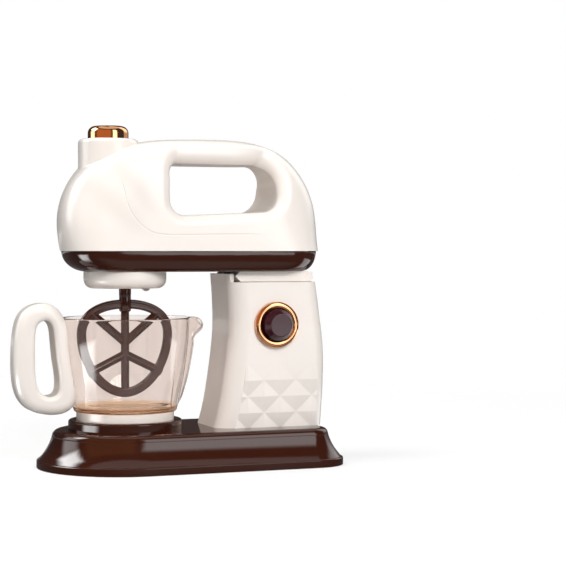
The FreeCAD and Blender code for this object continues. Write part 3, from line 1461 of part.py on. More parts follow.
def make_fasteners():
    up = Vector(0, 0, 1)
    down = Vector(0, 0, -1)
    cover_screw_x = battery_x[1] + tongue_length / 2.0
    save("base_screws", upright_group(pillar_places, sunk_head, 13.0, up))
    save("battery_cover_screw", pan_screw(Vector(cover_screw_x, 0, sunk_head), 5.2, up))
    under_top = base_height - base_wall - screw_head_height
    save("column_foot_screws", upright_group(column_screw_places, under_top, foot_boss_height, up))
    seat_y = column_half_width - cross_recess_depth + screw_head_height
    save("column_screws", cross_group(cross_screws, seat_y, seat_y - cross_tip))
    head_y = head_recess_y + screw_head_height
    save("head_screws", cross_group(head_cross, head_y, head_y - cross_tip))
    sunk = tray_bottom + screw_sink - screw_head_height
    save("tray_screws", upright_group(tray_screws, sunk, head_boss_top - 2.7 - sunk, up))
    cover_seat = cover_bottom + screw_sink - screw_head_height
    save("cover_screws", upright_group(cover_screws, cover_seat, tray_floor + 2.3 - cover_seat, up))
    save("gear_plate_screws", upright_group(gear_posts, tray_bottom + sunk_head, 9.0, up))
    neck_head = tray_floor + screw_head_height
    save("neck_screws", upright_group(neck_screws, neck_head, 7.0, down))
    board = [Vector(knob_x + dx, board_y + 0.8, knob_z + dz) for dx, dz in board_posts]
    small = [screw(1.6, 0.8, 0.8, 6.0, place, Vector(0, -1, 0)) for place in board]
    save("board_screws", Part.makeCompound(small))


def main():
    os.makedirs("parts", exist_ok=True)
    save("base_shell", make_base_shell())
    save("base_bottom_plate", make_bottom_plate())
    save("battery_cover", make_battery_cover())
    save("battery_cells", make_cells())
    save("battery_contacts", make_contacts())
    common = column_common()
    facets = make_facets()
    save("column_shell_left", make_column_left(common, facets))
    save("column_shell_right", make_column_right(common, facets))
    save("knob_ring", make_bezel())
    save("power_button", make_power_button())
    save("power_button_spring", make_power_spring())
    save("switch_board", make_switch_board())
    save("battery_leads", make_battery_leads())
    save("hinge_pin", bar_y(hinge_pin_radius, (-ear_outer, ear_outer), hinge_x, hinge_z))
    half = make_head_half()
    save("head_shell_left", finish_head_half(half, -1))
    save("head_shell_right", finish_head_half(mirrored(half), 1))
    save("button_collar", make_collar())
    save("top_button", make_top_button())
    save("top_button_spring", make_top_spring())
    save("head_tray", make_tray())
    save("hinge_neck", make_neck())
    save("drive_cover", make_drive_cover())
    save("light_lens", make_light_lens())
    save("light_board", make_light_board())
    save("motor", make_motor())
    shaft_z = (pinion_z[0], gear_plate_z[1] + motor_length - 2.0)
    save("motor_shaft", post(motor_shaft_radius, shaft_z, motor_x))
    save("motor_pinion", make_pinion())
    save("idler_gear", make_idler_gear())
    save("idler_axle", post(axle_radius, (tray_bottom + 0.6, gear_plate_z[1]), idler_x))
    save("output_gear", make_output_gear())
    save("gear_plate", make_gear_plate())
    save("drive_spindle", make_spindle())
    save("spindle_bush", make_bush())
    save("motor_leads", make_motor_leads())
    save("beater", make_beater())
    save("mixing_bowl", make_bowl())
    save("bowl_foot", make_bowl_foot())
    save("bowl_handle", make_bowl_handle())
    make_fasteners()


main()
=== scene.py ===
"""Looks for a toy stand mixer: finishes, a clear bowl, a beater, a ring and a spring, floor and lamps."""

import math

import bpy
import numpy as np
from bpy.props import FloatProperty, FloatVectorProperty, IntProperty, PointerProperty
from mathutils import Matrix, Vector


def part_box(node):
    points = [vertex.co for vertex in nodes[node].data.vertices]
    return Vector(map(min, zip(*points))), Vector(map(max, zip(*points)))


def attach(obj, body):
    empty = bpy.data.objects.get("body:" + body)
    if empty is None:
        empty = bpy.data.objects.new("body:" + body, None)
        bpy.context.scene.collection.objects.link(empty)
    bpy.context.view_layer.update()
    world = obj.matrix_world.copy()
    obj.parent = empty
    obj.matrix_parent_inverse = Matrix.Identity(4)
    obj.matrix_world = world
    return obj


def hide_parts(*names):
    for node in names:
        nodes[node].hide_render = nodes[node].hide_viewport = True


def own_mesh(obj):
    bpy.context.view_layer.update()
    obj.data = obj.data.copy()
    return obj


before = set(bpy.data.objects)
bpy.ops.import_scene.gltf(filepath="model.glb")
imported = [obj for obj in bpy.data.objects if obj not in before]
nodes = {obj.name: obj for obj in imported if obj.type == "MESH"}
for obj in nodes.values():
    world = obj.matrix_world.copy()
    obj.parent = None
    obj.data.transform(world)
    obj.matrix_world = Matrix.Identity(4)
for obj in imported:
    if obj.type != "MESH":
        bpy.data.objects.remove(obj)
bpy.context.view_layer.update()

bl_info = {
    "name": "Toy Mixer Looks",
    "version": (1, 1, 0),
    "blender": (4, 5, 0),
    "location": "View3D > Sidebar > Toy Mixer",
    "description": "Finishes, moulded details and a studio for a toy stand mixer",
    "category": "Object",
}

MM = 0.001
WHITE = (1.0, 1.0, 1.0)
foot_low, foot_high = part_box("bowl_foot")
bowl_low, bowl_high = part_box("mixing_bowl")
beater_low, beater_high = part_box("beater")
ring_low, ring_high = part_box("knob_ring")
BOWL_X = (foot_low.x + foot_high.x) / 2.0

# Every CAD node, by the finish that it wears
CREAM_NODES = ("column_shell_left", "column_shell_right", "head_shell_left", "head_shell_right",
               "button_collar", "drive_cover", "hinge_neck", "bowl_foot", "bowl_handle")
COCOA_NODES = ("base_shell", "base_bottom_plate", "battery_cover", "head_tray")
CONTROL_NODES = {"copper": ("top_button",), "smoke": ("power_button",), "lens": ("light_lens",)}
DRIVE_NODES = {
    "can": ("motor",),
    "brass": ("motor_pinion", "spindle_bush"),
    "gear": ("idler_gear", "output_gear", "gear_plate"),
    "board": ("switch_board", "light_board"),
    "cell": ("battery_cells",),
    "nickel": ("battery_contacts",),
    "lead": ("battery_leads", "motor_leads"),
    "steel": ("idler_axle", "drive_spindle", "motor_shaft"),
}
FASTENER_NODES = ("base_screws", "battery_cover_screw", "column_foot_screws", "column_screws", "head_screws",
                  "tray_screws", "neck_screws", "cover_screws", "board_screws", "gear_plate_screws",
                  "hinge_pin", "power_button_spring")

# The bowl's wall, its pouring ridge and its beak, as heights over its base, in mm
WALL_RISE = (0.0, 2.1, 11.7, 26.3, 44.6, 56.3, 68.3)
WALL_RADIUS = (37.2, 38.0, 40.1, 43.0, 45.6, 46.7, 47.4)
SPOUT_RISE = (0.0, 5.4, 16.9, 32.4, 46.4, 54.4, 56.8, 58.8, 62.9, 68.3)
SPOUT_REACH = (37.6, 41.6, 46.0, 49.9, 52.4, 54.0, 56.8, 58.8, 59.9, 60.2)
SPOUT_HALF_WIDTH = (2.6, 3.6, 5.2, 7.4, 9.6, 10.6, 11.2, 11.8, 12.6, 13.2)
LIP_REACH = (40.0, 51.0, 54.6, 57.8, 59.8, 61.0, 62.5)
LIP_DROP = (0.0, 0.0, 0.9, 3.4, 6.6, 10.4, 15.0)

# The ridge's fullness across, and the sine of the angle that it may reach round the bowl
RIDGE_FULLNESS = 0.8
RIDGE_SINE = 0.9

# The roundings outside and inside the bowl at its floor, in mm
BOWL_CORNER = 1.2
BOWL_HOLLOW = 3.4

# The rings up the bowl's wall, how they crowd towards its foot, and the rounds that settle its rim
WALL_RINGS = 64
WALL_CROWDING = 0.85
RIM_ROUNDS = 40

# The amber at the bowl's foot, in linear light, the heights over its base where it fades, in metres,
# and how strongly the clear plastic bends light
AMBER = (0.8, 0.56, 0.36)
AMBER_RISE = (0.0022, 0.0062)
CLEAR_IOR = 1.49

# The button ring: its bore, its tube, how far it stands before the wall and its lip behind it, in mm
RING_BORE = 11.8
RING_TUBE_BORE = 13.4
RING_TUBE_RADIUS = 14.6
RING_PROUD = 4.0
RING_LIP = 2.0

# The points over the ring's front, and how far the two points of each corner stand from it, in mm
RING_FRONT_POINTS = 30
RING_CORNER = 0.04

# The top button's spring: its wire radius, in mm, and its turns
COIL_WIRE = 0.5
COIL_TURNS = 5.0
COIL_TURN_POINTS = 40
COIL_WIRE_POINTS = 16

# The beater's egg, from its widest height, and its ribs' ends, in mm
EGG_POWER_ABOVE = 2.25
EGG_POWER_BELOW = 1.9
EGG_WIDEST_RISE = 46.0
EGG_HEIGHT = 71.5
RIBS = (
    ((0.0, -42.6), (0.0, 22.2)),
    ((0.0, -6.0), (27.0, 16.9)),
    ((0.0, -6.0), (-27.0, 16.9)),
    ((0.0, -14.5), (28.0, -28.3)),
    ((0.0, -14.5), (-28.0, -28.3)),
)

# The beater's sections: squareness and dish of the rim's, sharpness of a rib's roof, its loss at each end
RIM_POWER = 3.2
RIM_DISH = 0.16
ROOF_POWER = 1.35
RIB_THINNING = 0.3
RIM_POINTS = 320
RIB_POINTS = 40
SECTION_POINTS = 28

# The beater's stem: radii with depths under the egg's crown, under the stem's top, and under the crown again
STEM_FOOT = ((0.5, 9.0), (3.4, 9.0), (4.1, 8.4), (4.4, 7.2))
STEM_TOP = ((4.4, 0.9), (4.25, 0.3), (3.9, 0.05), (3.2, 0.0), (2.55, 0.3), (2.55, 1.0))
STEM_WELL = ((2.55, 5.4), (0.5, 5.4))
STEM_POINTS = 48

# The camera's place in metres, and its focal length in pixels of a square frame
CAMERA_PLACE = (-0.3738, -1.1808, 0.1575)
FOCAL_PIXELS = 1665.15
FRAME_PIXELS = 566.0
SENSOR = 36.0

# What the lamps and the far cards stand round, in metres
AIM = np.array([0.0, 0.0, 0.11])

# Soft lamps: name, azimuth, elevation, distance and size; each one's power is its setting in the studio
LAMPS = (
    ("left", -92.0, 60.0, 1.8, 0.9),
    ("front", 2.0, 31.0, 1.8, 1.0),
    ("back", 165.0, 42.0, 1.8, 1.2),
)

# Far cards in the gloss: name, azimuths, elevations, distance, level, softness and colour
FAR_CARDS = (
    ("tent", (-180.0, 180.0), (-1.0, 89.0), 2.6, 0.05, 0.001, WHITE),
    ("left_window", (-142.0, -92.0), (26.0, 52.0), 2.3, 14.0, 0.3, WHITE),
    ("left_glow", (-132.0, -92.0), (-2.4, 34.0), 2.4, 3.0, 0.3, WHITE),
    # The warm card is an orange glow that only gloss sees: a painted orange reflection in the copper and a
    # warm sheen in the brown gloss
    ("warm_wall", (-90.0, 8.0), (-2.0, 50.0), 2.5, 0.5, 0.15, (1.0, 0.45, 0.2)),
    ("front_window", (9.0, 38.0), (-2.4, 44.0), 2.3, 3.0, 0.2, WHITE),
    ("right_glow", (82.0, 136.0), (-1.0, 70.0), 2.4, 2.0, 0.35, WHITE),
    ("back_window", (150.0, 200.0), (40.0, 66.0), 2.3, 0.8, 0.4, WHITE),
    ("ceiling", (-180.0, 180.0), (58.0, 89.0), 2.45, 0.8, 0.1, WHITE),
)

# Cards near the floor in the gloss: name, azimuths, reaches, centre, height, level and softness
FLOOR_CARDS = (
    ("floor_tent", (-180.0, 180.0), (0.0, 2.6), (0.0, 0.0), 0.0004, 0.1, 0.001),
    ("floor_left", (-112.0, -60.0), (0.075, 0.5), (-0.09, 0.0), 0.001, 10.0, 0.3),
    ("floor_front", (8.0, 38.0), (0.8, 2.4), (0.06, -0.03), 0.0009, 3.0, 0.12),
    ("floor_near", (-70.0, 80.0), (0.0, 0.34), (0.0, -0.03), 0.0007, 0.42, 0.3),
    ("floor_right", (60.0, 110.0), (0.05, 0.5), (0.1, 0.0), 0.001, 3.0, 0.2),
)
CARD_POINTS = 33

# The floor's rings, from its edge inwards, in metres
FLOOR_REACH = (3.2, 1.2, 0.6, 0.2)
FLOOR_POINTS = 96


def rounded_power(base, power):
    """A power that keeps the sign of its base."""
    return np.sign(base) * np.abs(base) ** power


def smooth_step(low, high, at):
    """0 below low, 1 above high, and 3t^2 - 2t^3 between."""
    t = np.clip((at - low) / (high - low), 0.0, 1.0)
    return t * t * (3.0 - 2.0 * t)


def smooth_through(knots, values, at):
    """A cubic Hermite line through the knots, whose slope at each knot is the gradient of its neighbours."""
    knots = np.asarray(knots, float)
    values = np.asarray(values, float)
    slopes = np.gradient(values, knots)
    span = np.clip(np.searchsorted(knots, at) - 1, 0, len(knots) - 2)
    step = knots[span + 1] - knots[span]
    t = np.clip((at - knots[span]) / step, 0.0, 1.0)
    start = (1.0 + 2.0 * t) * (1.0 - t) ** 2 * values[span] + t * (1.0 - t) ** 2 * step * slopes[span]
    end = t * t * (3.0 - 2.0 * t) * values[span + 1] + t * t * (t - 1.0) * step * slopes[span + 1]
    return start + end


def ring_faces(rings, columns, closed=False):
    """Quads between neighbouring rings of points, each ring closed on itself.

    A quad's corners are (i, j), (i, j + 1), (i + 1, j + 1) and (i + 1, j).
    """
    i, j = np.meshgrid(np.arange(rings if closed else rings - 1), np.arange(columns), indexing="ij")
    after = (i + 1) % rings
    beside = (j + 1) % columns
    corners = (i * columns + j, i * columns + beside, after * columns + beside, after * columns + j)
    return np.stack([corner.ravel() for corner in corners], axis=1)


def skin(rings, closed=False):
    """Points and faces of a tube through rings (count, columns, 3); open ends close on their centres."""
    count, columns = rings.shape[:2]
    faces = ring_faces(count, columns, closed).tolist()
    points = rings.reshape(-1, 3)
    if not closed:
        ends = np.stack([rings[0].mean(axis=0), rings[-1].mean(axis=0)])
        first = count * columns
        j = np.arange(columns)
        beside = (j + 1) % columns
        last_ring = (count - 1) * columns
        faces += np.stack([np.full(columns, first), beside, j], axis=1).tolist()
        faces += np.stack([np.full(columns, first + 1), last_ring + j, last_ring + beside], axis=1).tolist()
        points = np.concatenate([points, ends])
    return points, faces


def make_piece(name, shells, material, body):
    """One mesh from several shells of points and faces, riding on a body; its object sits at the origin."""
    points = np.concatenate([shell[0] for shell in shells])
    faces = []
    start = 0
    for shell_points, shell_faces in shells:
        faces += [[start + corner for corner in face] for face in shell_faces]
        start += len(shell_points)
    mesh = bpy.data.meshes.new(name)
    mesh.from_pydata((points * MM).tolist(), [], faces)
    mesh.polygons.foreach_set("use_smooth", np.ones(len(faces), bool))
    mesh.materials.append(material)
    mesh.update()
    piece = bpy.data.objects.new(name, mesh)
    bpy.context.scene.collection.objects.link(piece)
    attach(piece, body)
    return piece


class Value:
    """A node's output that takes part in sums: each operator adds one Math node to its tree."""

    def __init__(self, tree, socket):
        self.tree = tree
        self.socket = socket

    def _math(self, operation, first, second):
        return self.tree.node("ShaderNodeMath", {"operation": operation}, {0: first, 1: second})

    def __add__(self, other):
        return self._math("ADD", self, other)

    __radd__ = __add__

    def __sub__(self, other):
        return self._math("SUBTRACT", self, other)

    def __rsub__(self, other):
        return self._math("SUBTRACT", other, self)

    def __mul__(self, other):
        return self._math("MULTIPLY", self, other)

    __rmul__ = __mul__

    def __truediv__(self, other):
        return self._math("DIVIDE", self, other)

    def __rtruediv__(self, other):
        return self._math("DIVIDE", other, self)

    def least(self, other):
        return self._math("MINIMUM", self, other)


class NodeTree:
    """The nodes of a material or of the world, each made by one method."""

    def __init__(self, owner, output):
        owner.use_nodes = True
        self.tree = owner.node_tree
        self.tree.nodes.clear()
        self.output = self.tree.nodes.new(output)

    def node(self, kind, settings, inputs, output=0):
        """Any node: its settings first, then each socket's value or link; gives one output as a Value."""
        made = self.tree.nodes.new(kind)
        for name, value in settings.items():
            setattr(made, name, value)
        for name, value in inputs.items():
            if isinstance(value, Value):
                self.tree.links.new(value.socket, made.inputs[name])
            else:
                made.inputs[name].default_value = value
        return Value(self, made.outputs[output])

    def show(self, shader):
        self.tree.links.new(shader.socket, self.output.inputs["Surface"])

    def path(self, question):
        return self.node("ShaderNodeLightPath", {}, {}, question)

    def seen(self):
        """1 for the rays that look: from the camera, off gloss and through clear walls."""
        return self.path("Is Camera Ray") + self.path("Is Glossy Ray") + self.path("Is Transmission Ray")

    def either(self, share, first, second):
        """One shader or another, by a share that is 0 for the first."""
        return self.node("ShaderNodeMixShader", {}, {0: share, 1: first, 2: second})

    def glow(self, colour, strength):
        return self.node("ShaderNodeEmission", {}, {"Color": (*colour, 1.0), "Strength": strength})


class Finish(NodeTree):
    """One material: a shader whose constants sit on its own sockets, and the nodes that vary it."""

    def __init__(self, name, colour, roughness, metallic=0.0, coat=0.0, **constants):
        self.material = bpy.data.materials.new(name)
        super().__init__(self.material, "ShaderNodeOutputMaterial")
        sockets = {"Base Color": (*colour, 1.0), "Roughness": roughness, "Metallic": metallic,
                   "Coat Weight": coat}
        for name, value in constants.items():
            sockets[name.replace("_", " ")] = value
        self.surface = self.node("ShaderNodeBsdfPrincipled", {}, sockets)
        self.show(self.surface)
        self.place = self.node("ShaderNodeTexCoord", {}, {}, "Object")

    def feed(self, socket, value):
        self.tree.links.new(value.socket, self.surface.socket.node.inputs[socket])

    def noise(self, scale, detail=2.0, stretch=None):
        """Clouds about 1 / scale metres across, drawn out along an axis where stretch is below 1."""
        place = self.place
        if stretch:
            place = self.node("ShaderNodeMapping", {}, {"Vector": place, "Scale": stretch})
        return self.node("ShaderNodeTexNoise", {}, {"Vector": place, "Scale": scale, "Detail": detail})

    def blend(self, share, first, second):
        """Two colours mixed by a share that varies over the surface."""
        sockets = {0: share, 6: (*first, 1.0), 7: (*second, 1.0)}
        return self.node("ShaderNodeMix", {"data_type": "RGBA"}, sockets, 2)

    def relief(self, height, depth):
        """A bump of that real depth, in metres, from a height between 0 and 1."""
        bump = self.node("ShaderNodeBump", {}, {"Height": height, "Distance": depth, "Strength": 1.0})
        self.feed("Normal", bump)


def plastic(name, colour, roughness, shade, ripple_depth, coat=0.0):
    """Moulded plastic: faint clouds in its colour, haze in its gloss, a flow ripple and a fine grain."""
    finish = Finish(name, colour, roughness, coat=coat)
    darker = tuple(part * (1.0 - shade) for part in colour)
    clouds = finish.noise(28.0, 3.0)
    finish.feed("Base Color", finish.blend(clouds, darker, colour))
    haze = finish.noise(75.0, 5.0)
    finish.feed("Roughness", roughness - 0.03 + 0.06 * haze)
    ripple = finish.noise(110.0)
    grain = finish.noise(2600.0)
    finish.relief(ripple + 0.05 * grain, ripple_depth)
    return finish.material


def plating(name, colour, roughness):
    """Bright plating: a thin orange peel in the gloss and a faint change of tone."""
    finish = Finish(name, colour, roughness, metallic=1.0)
    deeper = tuple(part * 0.9 for part in colour)
    tone = finish.noise(90.0)
    finish.feed("Base Color", finish.blend(tone, deeper, colour))
    smear = finish.noise(240.0, 3.0)
    finish.feed("Roughness", roughness - 0.02 + 0.04 * smear)
    orange_peel = finish.noise(420.0, 1.0)
    finish.relief(orange_peel, 0.000008)
    return finish.material


def drawn_metal(name, colour, roughness):
    """Drawn or turned metal: fine lines across the object, in its colour, its gloss and as a bump."""
    finish = Finish(name, colour, roughness, metallic=1.0)
    darker = tuple(part * 0.8 for part in colour)
    lines = finish.noise(900.0, stretch=(1.0, 0.08, 1.0))
    finish.feed("Base Color", finish.blend(lines, darker, colour))
    finish.feed("Roughness", roughness - 0.06 + 0.12 * lines)
    finish.relief(lines, 0.00001)
    return finish.material


def clear_wall(name, colour, roughness, amber_heights=None):
    """Clear moulded plastic: it bends what is seen through it, and lets the lamps reach what stands behind.

    Where two heights are given, it is amber below the first and has faded to its own tint at the second.
    """
    finish = Finish(name, colour, roughness, Transmission_Weight=1.0, IOR=CLEAR_IOR)
    if amber_heights:
        rise = finish.node("ShaderNodeSeparateXYZ", {}, {0: finish.place}, 2)
        share = finish.node("ShaderNodeMapRange", {"interpolation_type": "SMOOTHSTEP"},
                            {"Value": rise, "From Min": amber_heights[0], "From Max": amber_heights[1]})
        finish.feed("Base Color", finish.blend(share, AMBER, colour))
    smear = finish.noise(60.0, 3.0)
    finish.feed("Roughness", roughness + 0.02 * smear)
    waves = finish.noise(45.0, 1.0, (1.0, 1.0, 0.35))
    finish.relief(waves, 0.00004)
    open_wall = finish.node("ShaderNodeBsdfTransparent", {}, {"Color": (*colour, 1.0)})
    finish.show(finish.either(finish.path("Is Shadow Ray"), finish.surface, open_wall))
    return finish.material


def dress(names, material):
    """Put one finish on CAD nodes, by assigning to their material slots."""
    missing = [name for name in names if name not in nodes]
    if missing:
        raise RuntimeError(f"the frame has no node named {missing}")
    for name in names:
        slots = nodes[name].data.materials
        slots.clear()
        slots.append(material)


class MixerColours(bpy.types.PropertyGroup):
    """Colours of the mouldings and plating"""
    cream: FloatVectorProperty(name="Cream", description="Colour of the cream mouldings, in linear light",
                               default=(0.93, 0.862, 0.805), subtype="COLOR", size=3, min=0.0, max=1.0)
    cocoa: FloatVectorProperty(name="Cocoa", description="Colour of the brown mouldings, in linear light",
                               default=(0.043, 0.0095, 0.004), subtype="COLOR", size=3, min=0.0, max=1.0)
    copper: FloatVectorProperty(name="Copper", description="Colour of the bright plating, in linear light",
                                default=(0.93, 0.46, 0.23), subtype="COLOR", size=3, min=0.0, max=1.0)
    smoke: FloatVectorProperty(name="Smoke", description="Colour of the power button, in linear light",
                               default=(0.045, 0.009, 0.014), subtype="COLOR", size=3, min=0.0, max=1.0)
    clear: FloatVectorProperty(name="Clear tint", description="Tint of the bowl's wall, in linear light",
                               default=(0.885, 0.81, 0.77), subtype="COLOR", size=3, min=0.0, max=1.0)


class MixerBowl(bpy.types.PropertyGroup):
    """Sizes of the clear bowl"""
    wall: FloatProperty(name="Wall", description="Thickness of the bowl's wall", default=0.0018,
                        min=0.0008, max=0.004, unit="LENGTH")
    floor: FloatProperty(name="Floor", description="Thickness of the bowl's floor", default=0.0016,
                         min=0.0008, max=0.004, unit="LENGTH")
    ridge: FloatProperty(name="Ridge width", description="How many times its own width the ridge has",
                         default=1.25, min=1.0, max=2.0, subtype="FACTOR")
    columns: IntProperty(name="Columns", description="Points round the bowl", default=480, min=96, max=960)


class MixerBeater(bpy.types.PropertyGroup):
    """Sizes of the beater"""
    rim: FloatProperty(name="Rim width", description="Width of the egg-shaped rim in its plane",
                       default=0.0068, min=0.004, max=0.01, unit="LENGTH")
    rib: FloatProperty(name="Rib width", description="Width of each roofed rib in its plane",
                       default=0.0062, min=0.004, max=0.01, unit="LENGTH")
    thickness: FloatProperty(name="Thickness", description="Thickness of the rim across its plane",
                             default=0.0046, min=0.003, max=0.008, unit="LENGTH")


class MixerRing(bpy.types.PropertyGroup):
    """Shape of the ring round the power button"""
    fullness: FloatProperty(name="Fullness", description="Power of the rounded front, 2 for an ellipse",
                            default=2.1, min=1.6, max=4.0)
    front: FloatProperty(name="Front", description="Depth of the rounded front", default=0.0015,
                         min=0.0005, max=0.0035, unit="LENGTH")
    columns: IntProperty(name="Columns", description="Points round the ring", default=192, min=48, max=480)


class MixerStudio(bpy.types.PropertyGroup):
    """The studio's light and camera"""
    sky: FloatProperty(name="Sky", description="Level of the even light from all round", default=0.3,
                       min=0.0, max=2.0)
    left: FloatProperty(name="Left lamp", description="Power of the lamp at the nose's side", default=17.0,
                        min=0.0, max=200.0, unit="POWER")
    front: FloatProperty(name="Front lamp", description="Power of the lamp before the side", default=23.5,
                         min=0.0, max=200.0, unit="POWER")
    back: FloatProperty(name="Back lamp", description="Power of the lamp behind", default=10.0,
                        min=0.0, max=200.0, unit="POWER")
    turn: FloatProperty(name="Camera turn", description="How far the camera looks round from the side view",
                        default=math.radians(20.964), subtype="ANGLE")
    tilt: FloatProperty(name="Camera tilt", description="How far the camera looks down",
                        default=math.radians(1.101), subtype="ANGLE")


class MIXER_OT_mouldings(bpy.types.Operator):
    """Give the column, head, collar, cover, foot and handle their cream gloss"""
    bl_idname = "mixer.mouldings"
    bl_label = "Cream mouldings"

    def execute(self, context):
        colours = context.scene.mixer_colours
        dress(CREAM_NODES, plastic("cream_gloss", tuple(colours.cream), 0.22, 0.05, 0.00003, coat=0.25))
        return {"FINISHED"}


class MIXER_OT_cocoa(bpy.types.Operator):
    """Give the base, its plate and hatch, and the head's tray their brown gloss"""
    bl_idname = "mixer.cocoa"
    bl_label = "Cocoa mouldings"

    def execute(self, context):
        dress(COCOA_NODES, cocoa_gloss(context))
        return {"FINISHED"}


def cocoa_gloss(context):
    """The brown gloss, made once for all that wears it."""
    made = bpy.data.materials.get("cocoa_gloss")
    return made or plastic("cocoa_gloss", tuple(context.scene.mixer_colours.cocoa), 0.09, 0.12, 0.000012)


class MIXER_OT_controls(bpy.types.Operator):
    """Give the top button its plating, and the power button and the lamp lens their gloss"""
    bl_idname = "mixer.controls"
    bl_label = "Buttons and lens"

    def execute(self, context):
        colours = context.scene.mixer_colours
        dress(CONTROL_NODES["copper"], copper_gloss(context))
        dress(CONTROL_NODES["smoke"], plastic("smoke_gloss", tuple(colours.smoke), 0.14, 0.1, 0.00001))
        dress(CONTROL_NODES["lens"], clear_wall("lens_clear", WHITE, 0.02))
        return {"FINISHED"}


def copper_gloss(context):
    """The bright copper plating, made once for all that wears it."""
    made = bpy.data.materials.get("bright_copper")
    return made or plating("bright_copper", tuple(context.scene.mixer_colours.copper), 0.1)


def ring_shell(round_power, front, columns):
    """The knob's ring, turned about the button's axis: a rounded front, and the tube that holds it in place.

    The front runs over half a superellipse, |r|^p + |h|^p = 1, whose height is the depth front. Each point
    of the section becomes two close beside it, which keeps the corners crisp under smooth shading.
    """
    bore = RING_BORE
    outer = (ring_high.x - ring_low.x) / 2.0 / MM
    crest = -ring_low.y / MM
    wall = crest - RING_PROUD
    lip = wall - RING_LIP
    tube = -ring_high.y / MM
    turn = np.linspace(0.0, math.pi, RING_FRONT_POINTS)
    radius = (outer + bore) / 2.0 + (outer - bore) / 2.0 * rounded_power(np.cos(turn), 2.0 / round_power)
    height = crest - front + front * np.abs(np.sin(turn)) ** (2.0 / round_power)
    corners = np.array([(bore, lip), (RING_TUBE_BORE, lip), (RING_TUBE_BORE, tube), (RING_TUBE_RADIUS, tube),
                        (RING_TUBE_RADIUS, wall), (outer, wall)])
    section = np.concatenate([np.stack([radius, height], axis=1), corners])
    before = np.roll(section, 1, axis=0)
    after = np.roll(section, -1, axis=0)
    to_before = (before - section) / np.linalg.norm(before - section, axis=1, keepdims=True)
    to_after = (after - section) / np.linalg.norm(after - section, axis=1, keepdims=True)
    pairs = np.stack([section + RING_CORNER * to_before, section + RING_CORNER * to_after], axis=1)
    section = pairs.reshape(-1, 2)
    angle = np.linspace(0.0, 2.0 * math.pi, columns, endpoint=False)
    middle = (ring_low + ring_high) / 2.0 / MM
    out = section[:, 0][:, None]
    rings = np.stack([middle.x + out * np.cos(angle), -section[:, 1][:, None] + 0.0 * angle,
                      middle.z + out * np.sin(angle)], axis=-1)
    return skin(rings, True)


class MIXER_OT_ring(bpy.types.Operator):
    """Make the bright ring round the power button"""
    bl_idname = "mixer.ring"
    bl_label = "Button ring"

    def execute(self, context):
        sizes = context.scene.mixer_ring
        shell = ring_shell(sizes.fullness, sizes.front / MM, sizes.columns)
        ring = make_piece("bright_ring", [shell], copper_gloss(context), "stand")
        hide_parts("knob_ring")
        return {"FINISHED"}


def coil_shell(low, high, wire, turns):
    """A round wire along a helix (R cos a, R sin a, h) between two heights, with h rising evenly with a.

    Its section is a circle in the plane through the helix's axis.
    """
    centre = (low + high) / 2.0 / MM
    radius = (high.x - low.x) / 2.0 / MM - wire
    share = np.linspace(0.0, 1.0, int(turns * COIL_TURN_POINTS))[:, None]
    angle = 2.0 * math.pi * turns * share
    section = np.linspace(0.0, 2.0 * math.pi, COIL_WIRE_POINTS, endpoint=False)
    reach = radius + wire * np.cos(section)
    rise = low.z / MM + wire + share * ((high.z - low.z) / MM - 2.0 * wire) - wire * np.sin(section)
    return skin(np.stack([centre.x + reach * np.cos(angle), centre.y + reach * np.sin(angle), rise], axis=-1))


class MIXER_OT_coil(bpy.types.Operator):
    """Make the spring under the top button"""
    bl_idname = "mixer.coil"
    bl_label = "Button spring"

    def execute(self, context):
        low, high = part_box("top_button_spring")
        shell = coil_shell(low, high, COIL_WIRE, COIL_TURNS)
        coil = make_piece("button_coil", [shell], plated_steel(), "head")
        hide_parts("top_button_spring")
        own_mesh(coil)
        return {"FINISHED"}


class MIXER_OT_drive(bpy.types.Operator):
    """Give the motor, gears, boards, cells and leads their own metals and plastics"""
    bl_idname = "mixer.drive"
    bl_label = "Drive and battery parts"

    def execute(self, context):
        made = {
            "can": drawn_metal("motor_can", (0.62, 0.62, 0.64), 0.32),
            "brass": drawn_metal("turned_brass", (0.72, 0.5, 0.2), 0.25),
            "gear": plastic("gear_natural", (0.75, 0.75, 0.7), 0.4, 0.06, 0.00003),
            "board": plastic("board_green", (0.02, 0.12, 0.05), 0.35, 0.2, 0.00001),
            "cell": plastic("cell_wrap", (0.03, 0.03, 0.035), 0.3, 0.2, 0.00001),
            "nickel": plating("nickel_plate", (0.7, 0.68, 0.62), 0.2),
            "lead": plastic("lead_rubber", (0.3, 0.01, 0.01), 0.45, 0.2, 0.00003),
            "steel": plated_steel(),
        }
        for finish, names in DRIVE_NODES.items():
            dress(names, made[finish])
        return {"FINISHED"}


def plated_steel():
    """The screws' bright zinc, made once for all that wears it."""
    return bpy.data.materials.get("plated_steel") or plating("plated_steel", (0.6, 0.6, 0.62), 0.25)


class MIXER_OT_fasteners(bpy.types.Operator):
    """Give the screws, the power button's spring and the hinge pin their plated steel"""
    bl_idname = "mixer.fasteners"
    bl_label = "Screws, spring and pin"

    def execute(self, context):
        dress(FASTENER_NODES, plated_steel())
        return {"FINISHED"}


def bowl_radius(rise, angle, ridge):
    """The outer wall's radius: the turned wall, carried out to the spout's reach round angle 0.

    Its share of that reach is (1/2 + cos(pi s) / 2)^f, where s is the angle over the ridge's half width.
    """
    wall = smooth_through(WALL_RISE, WALL_RADIUS, rise)
    reach = smooth_through(SPOUT_RISE, SPOUT_REACH, rise)
    width = smooth_through(SPOUT_RISE, SPOUT_HALF_WIDTH, rise)
    spread = np.arcsin(np.clip(ridge * width / wall, 0.0, RIDGE_SINE))
    share = np.clip(np.abs(angle) / spread, 0.0, 1.0)
    bump = (0.5 + 0.5 * np.cos(np.pi * share)) ** RIDGE_FULLNESS
    return wall + bump * (reach - wall)


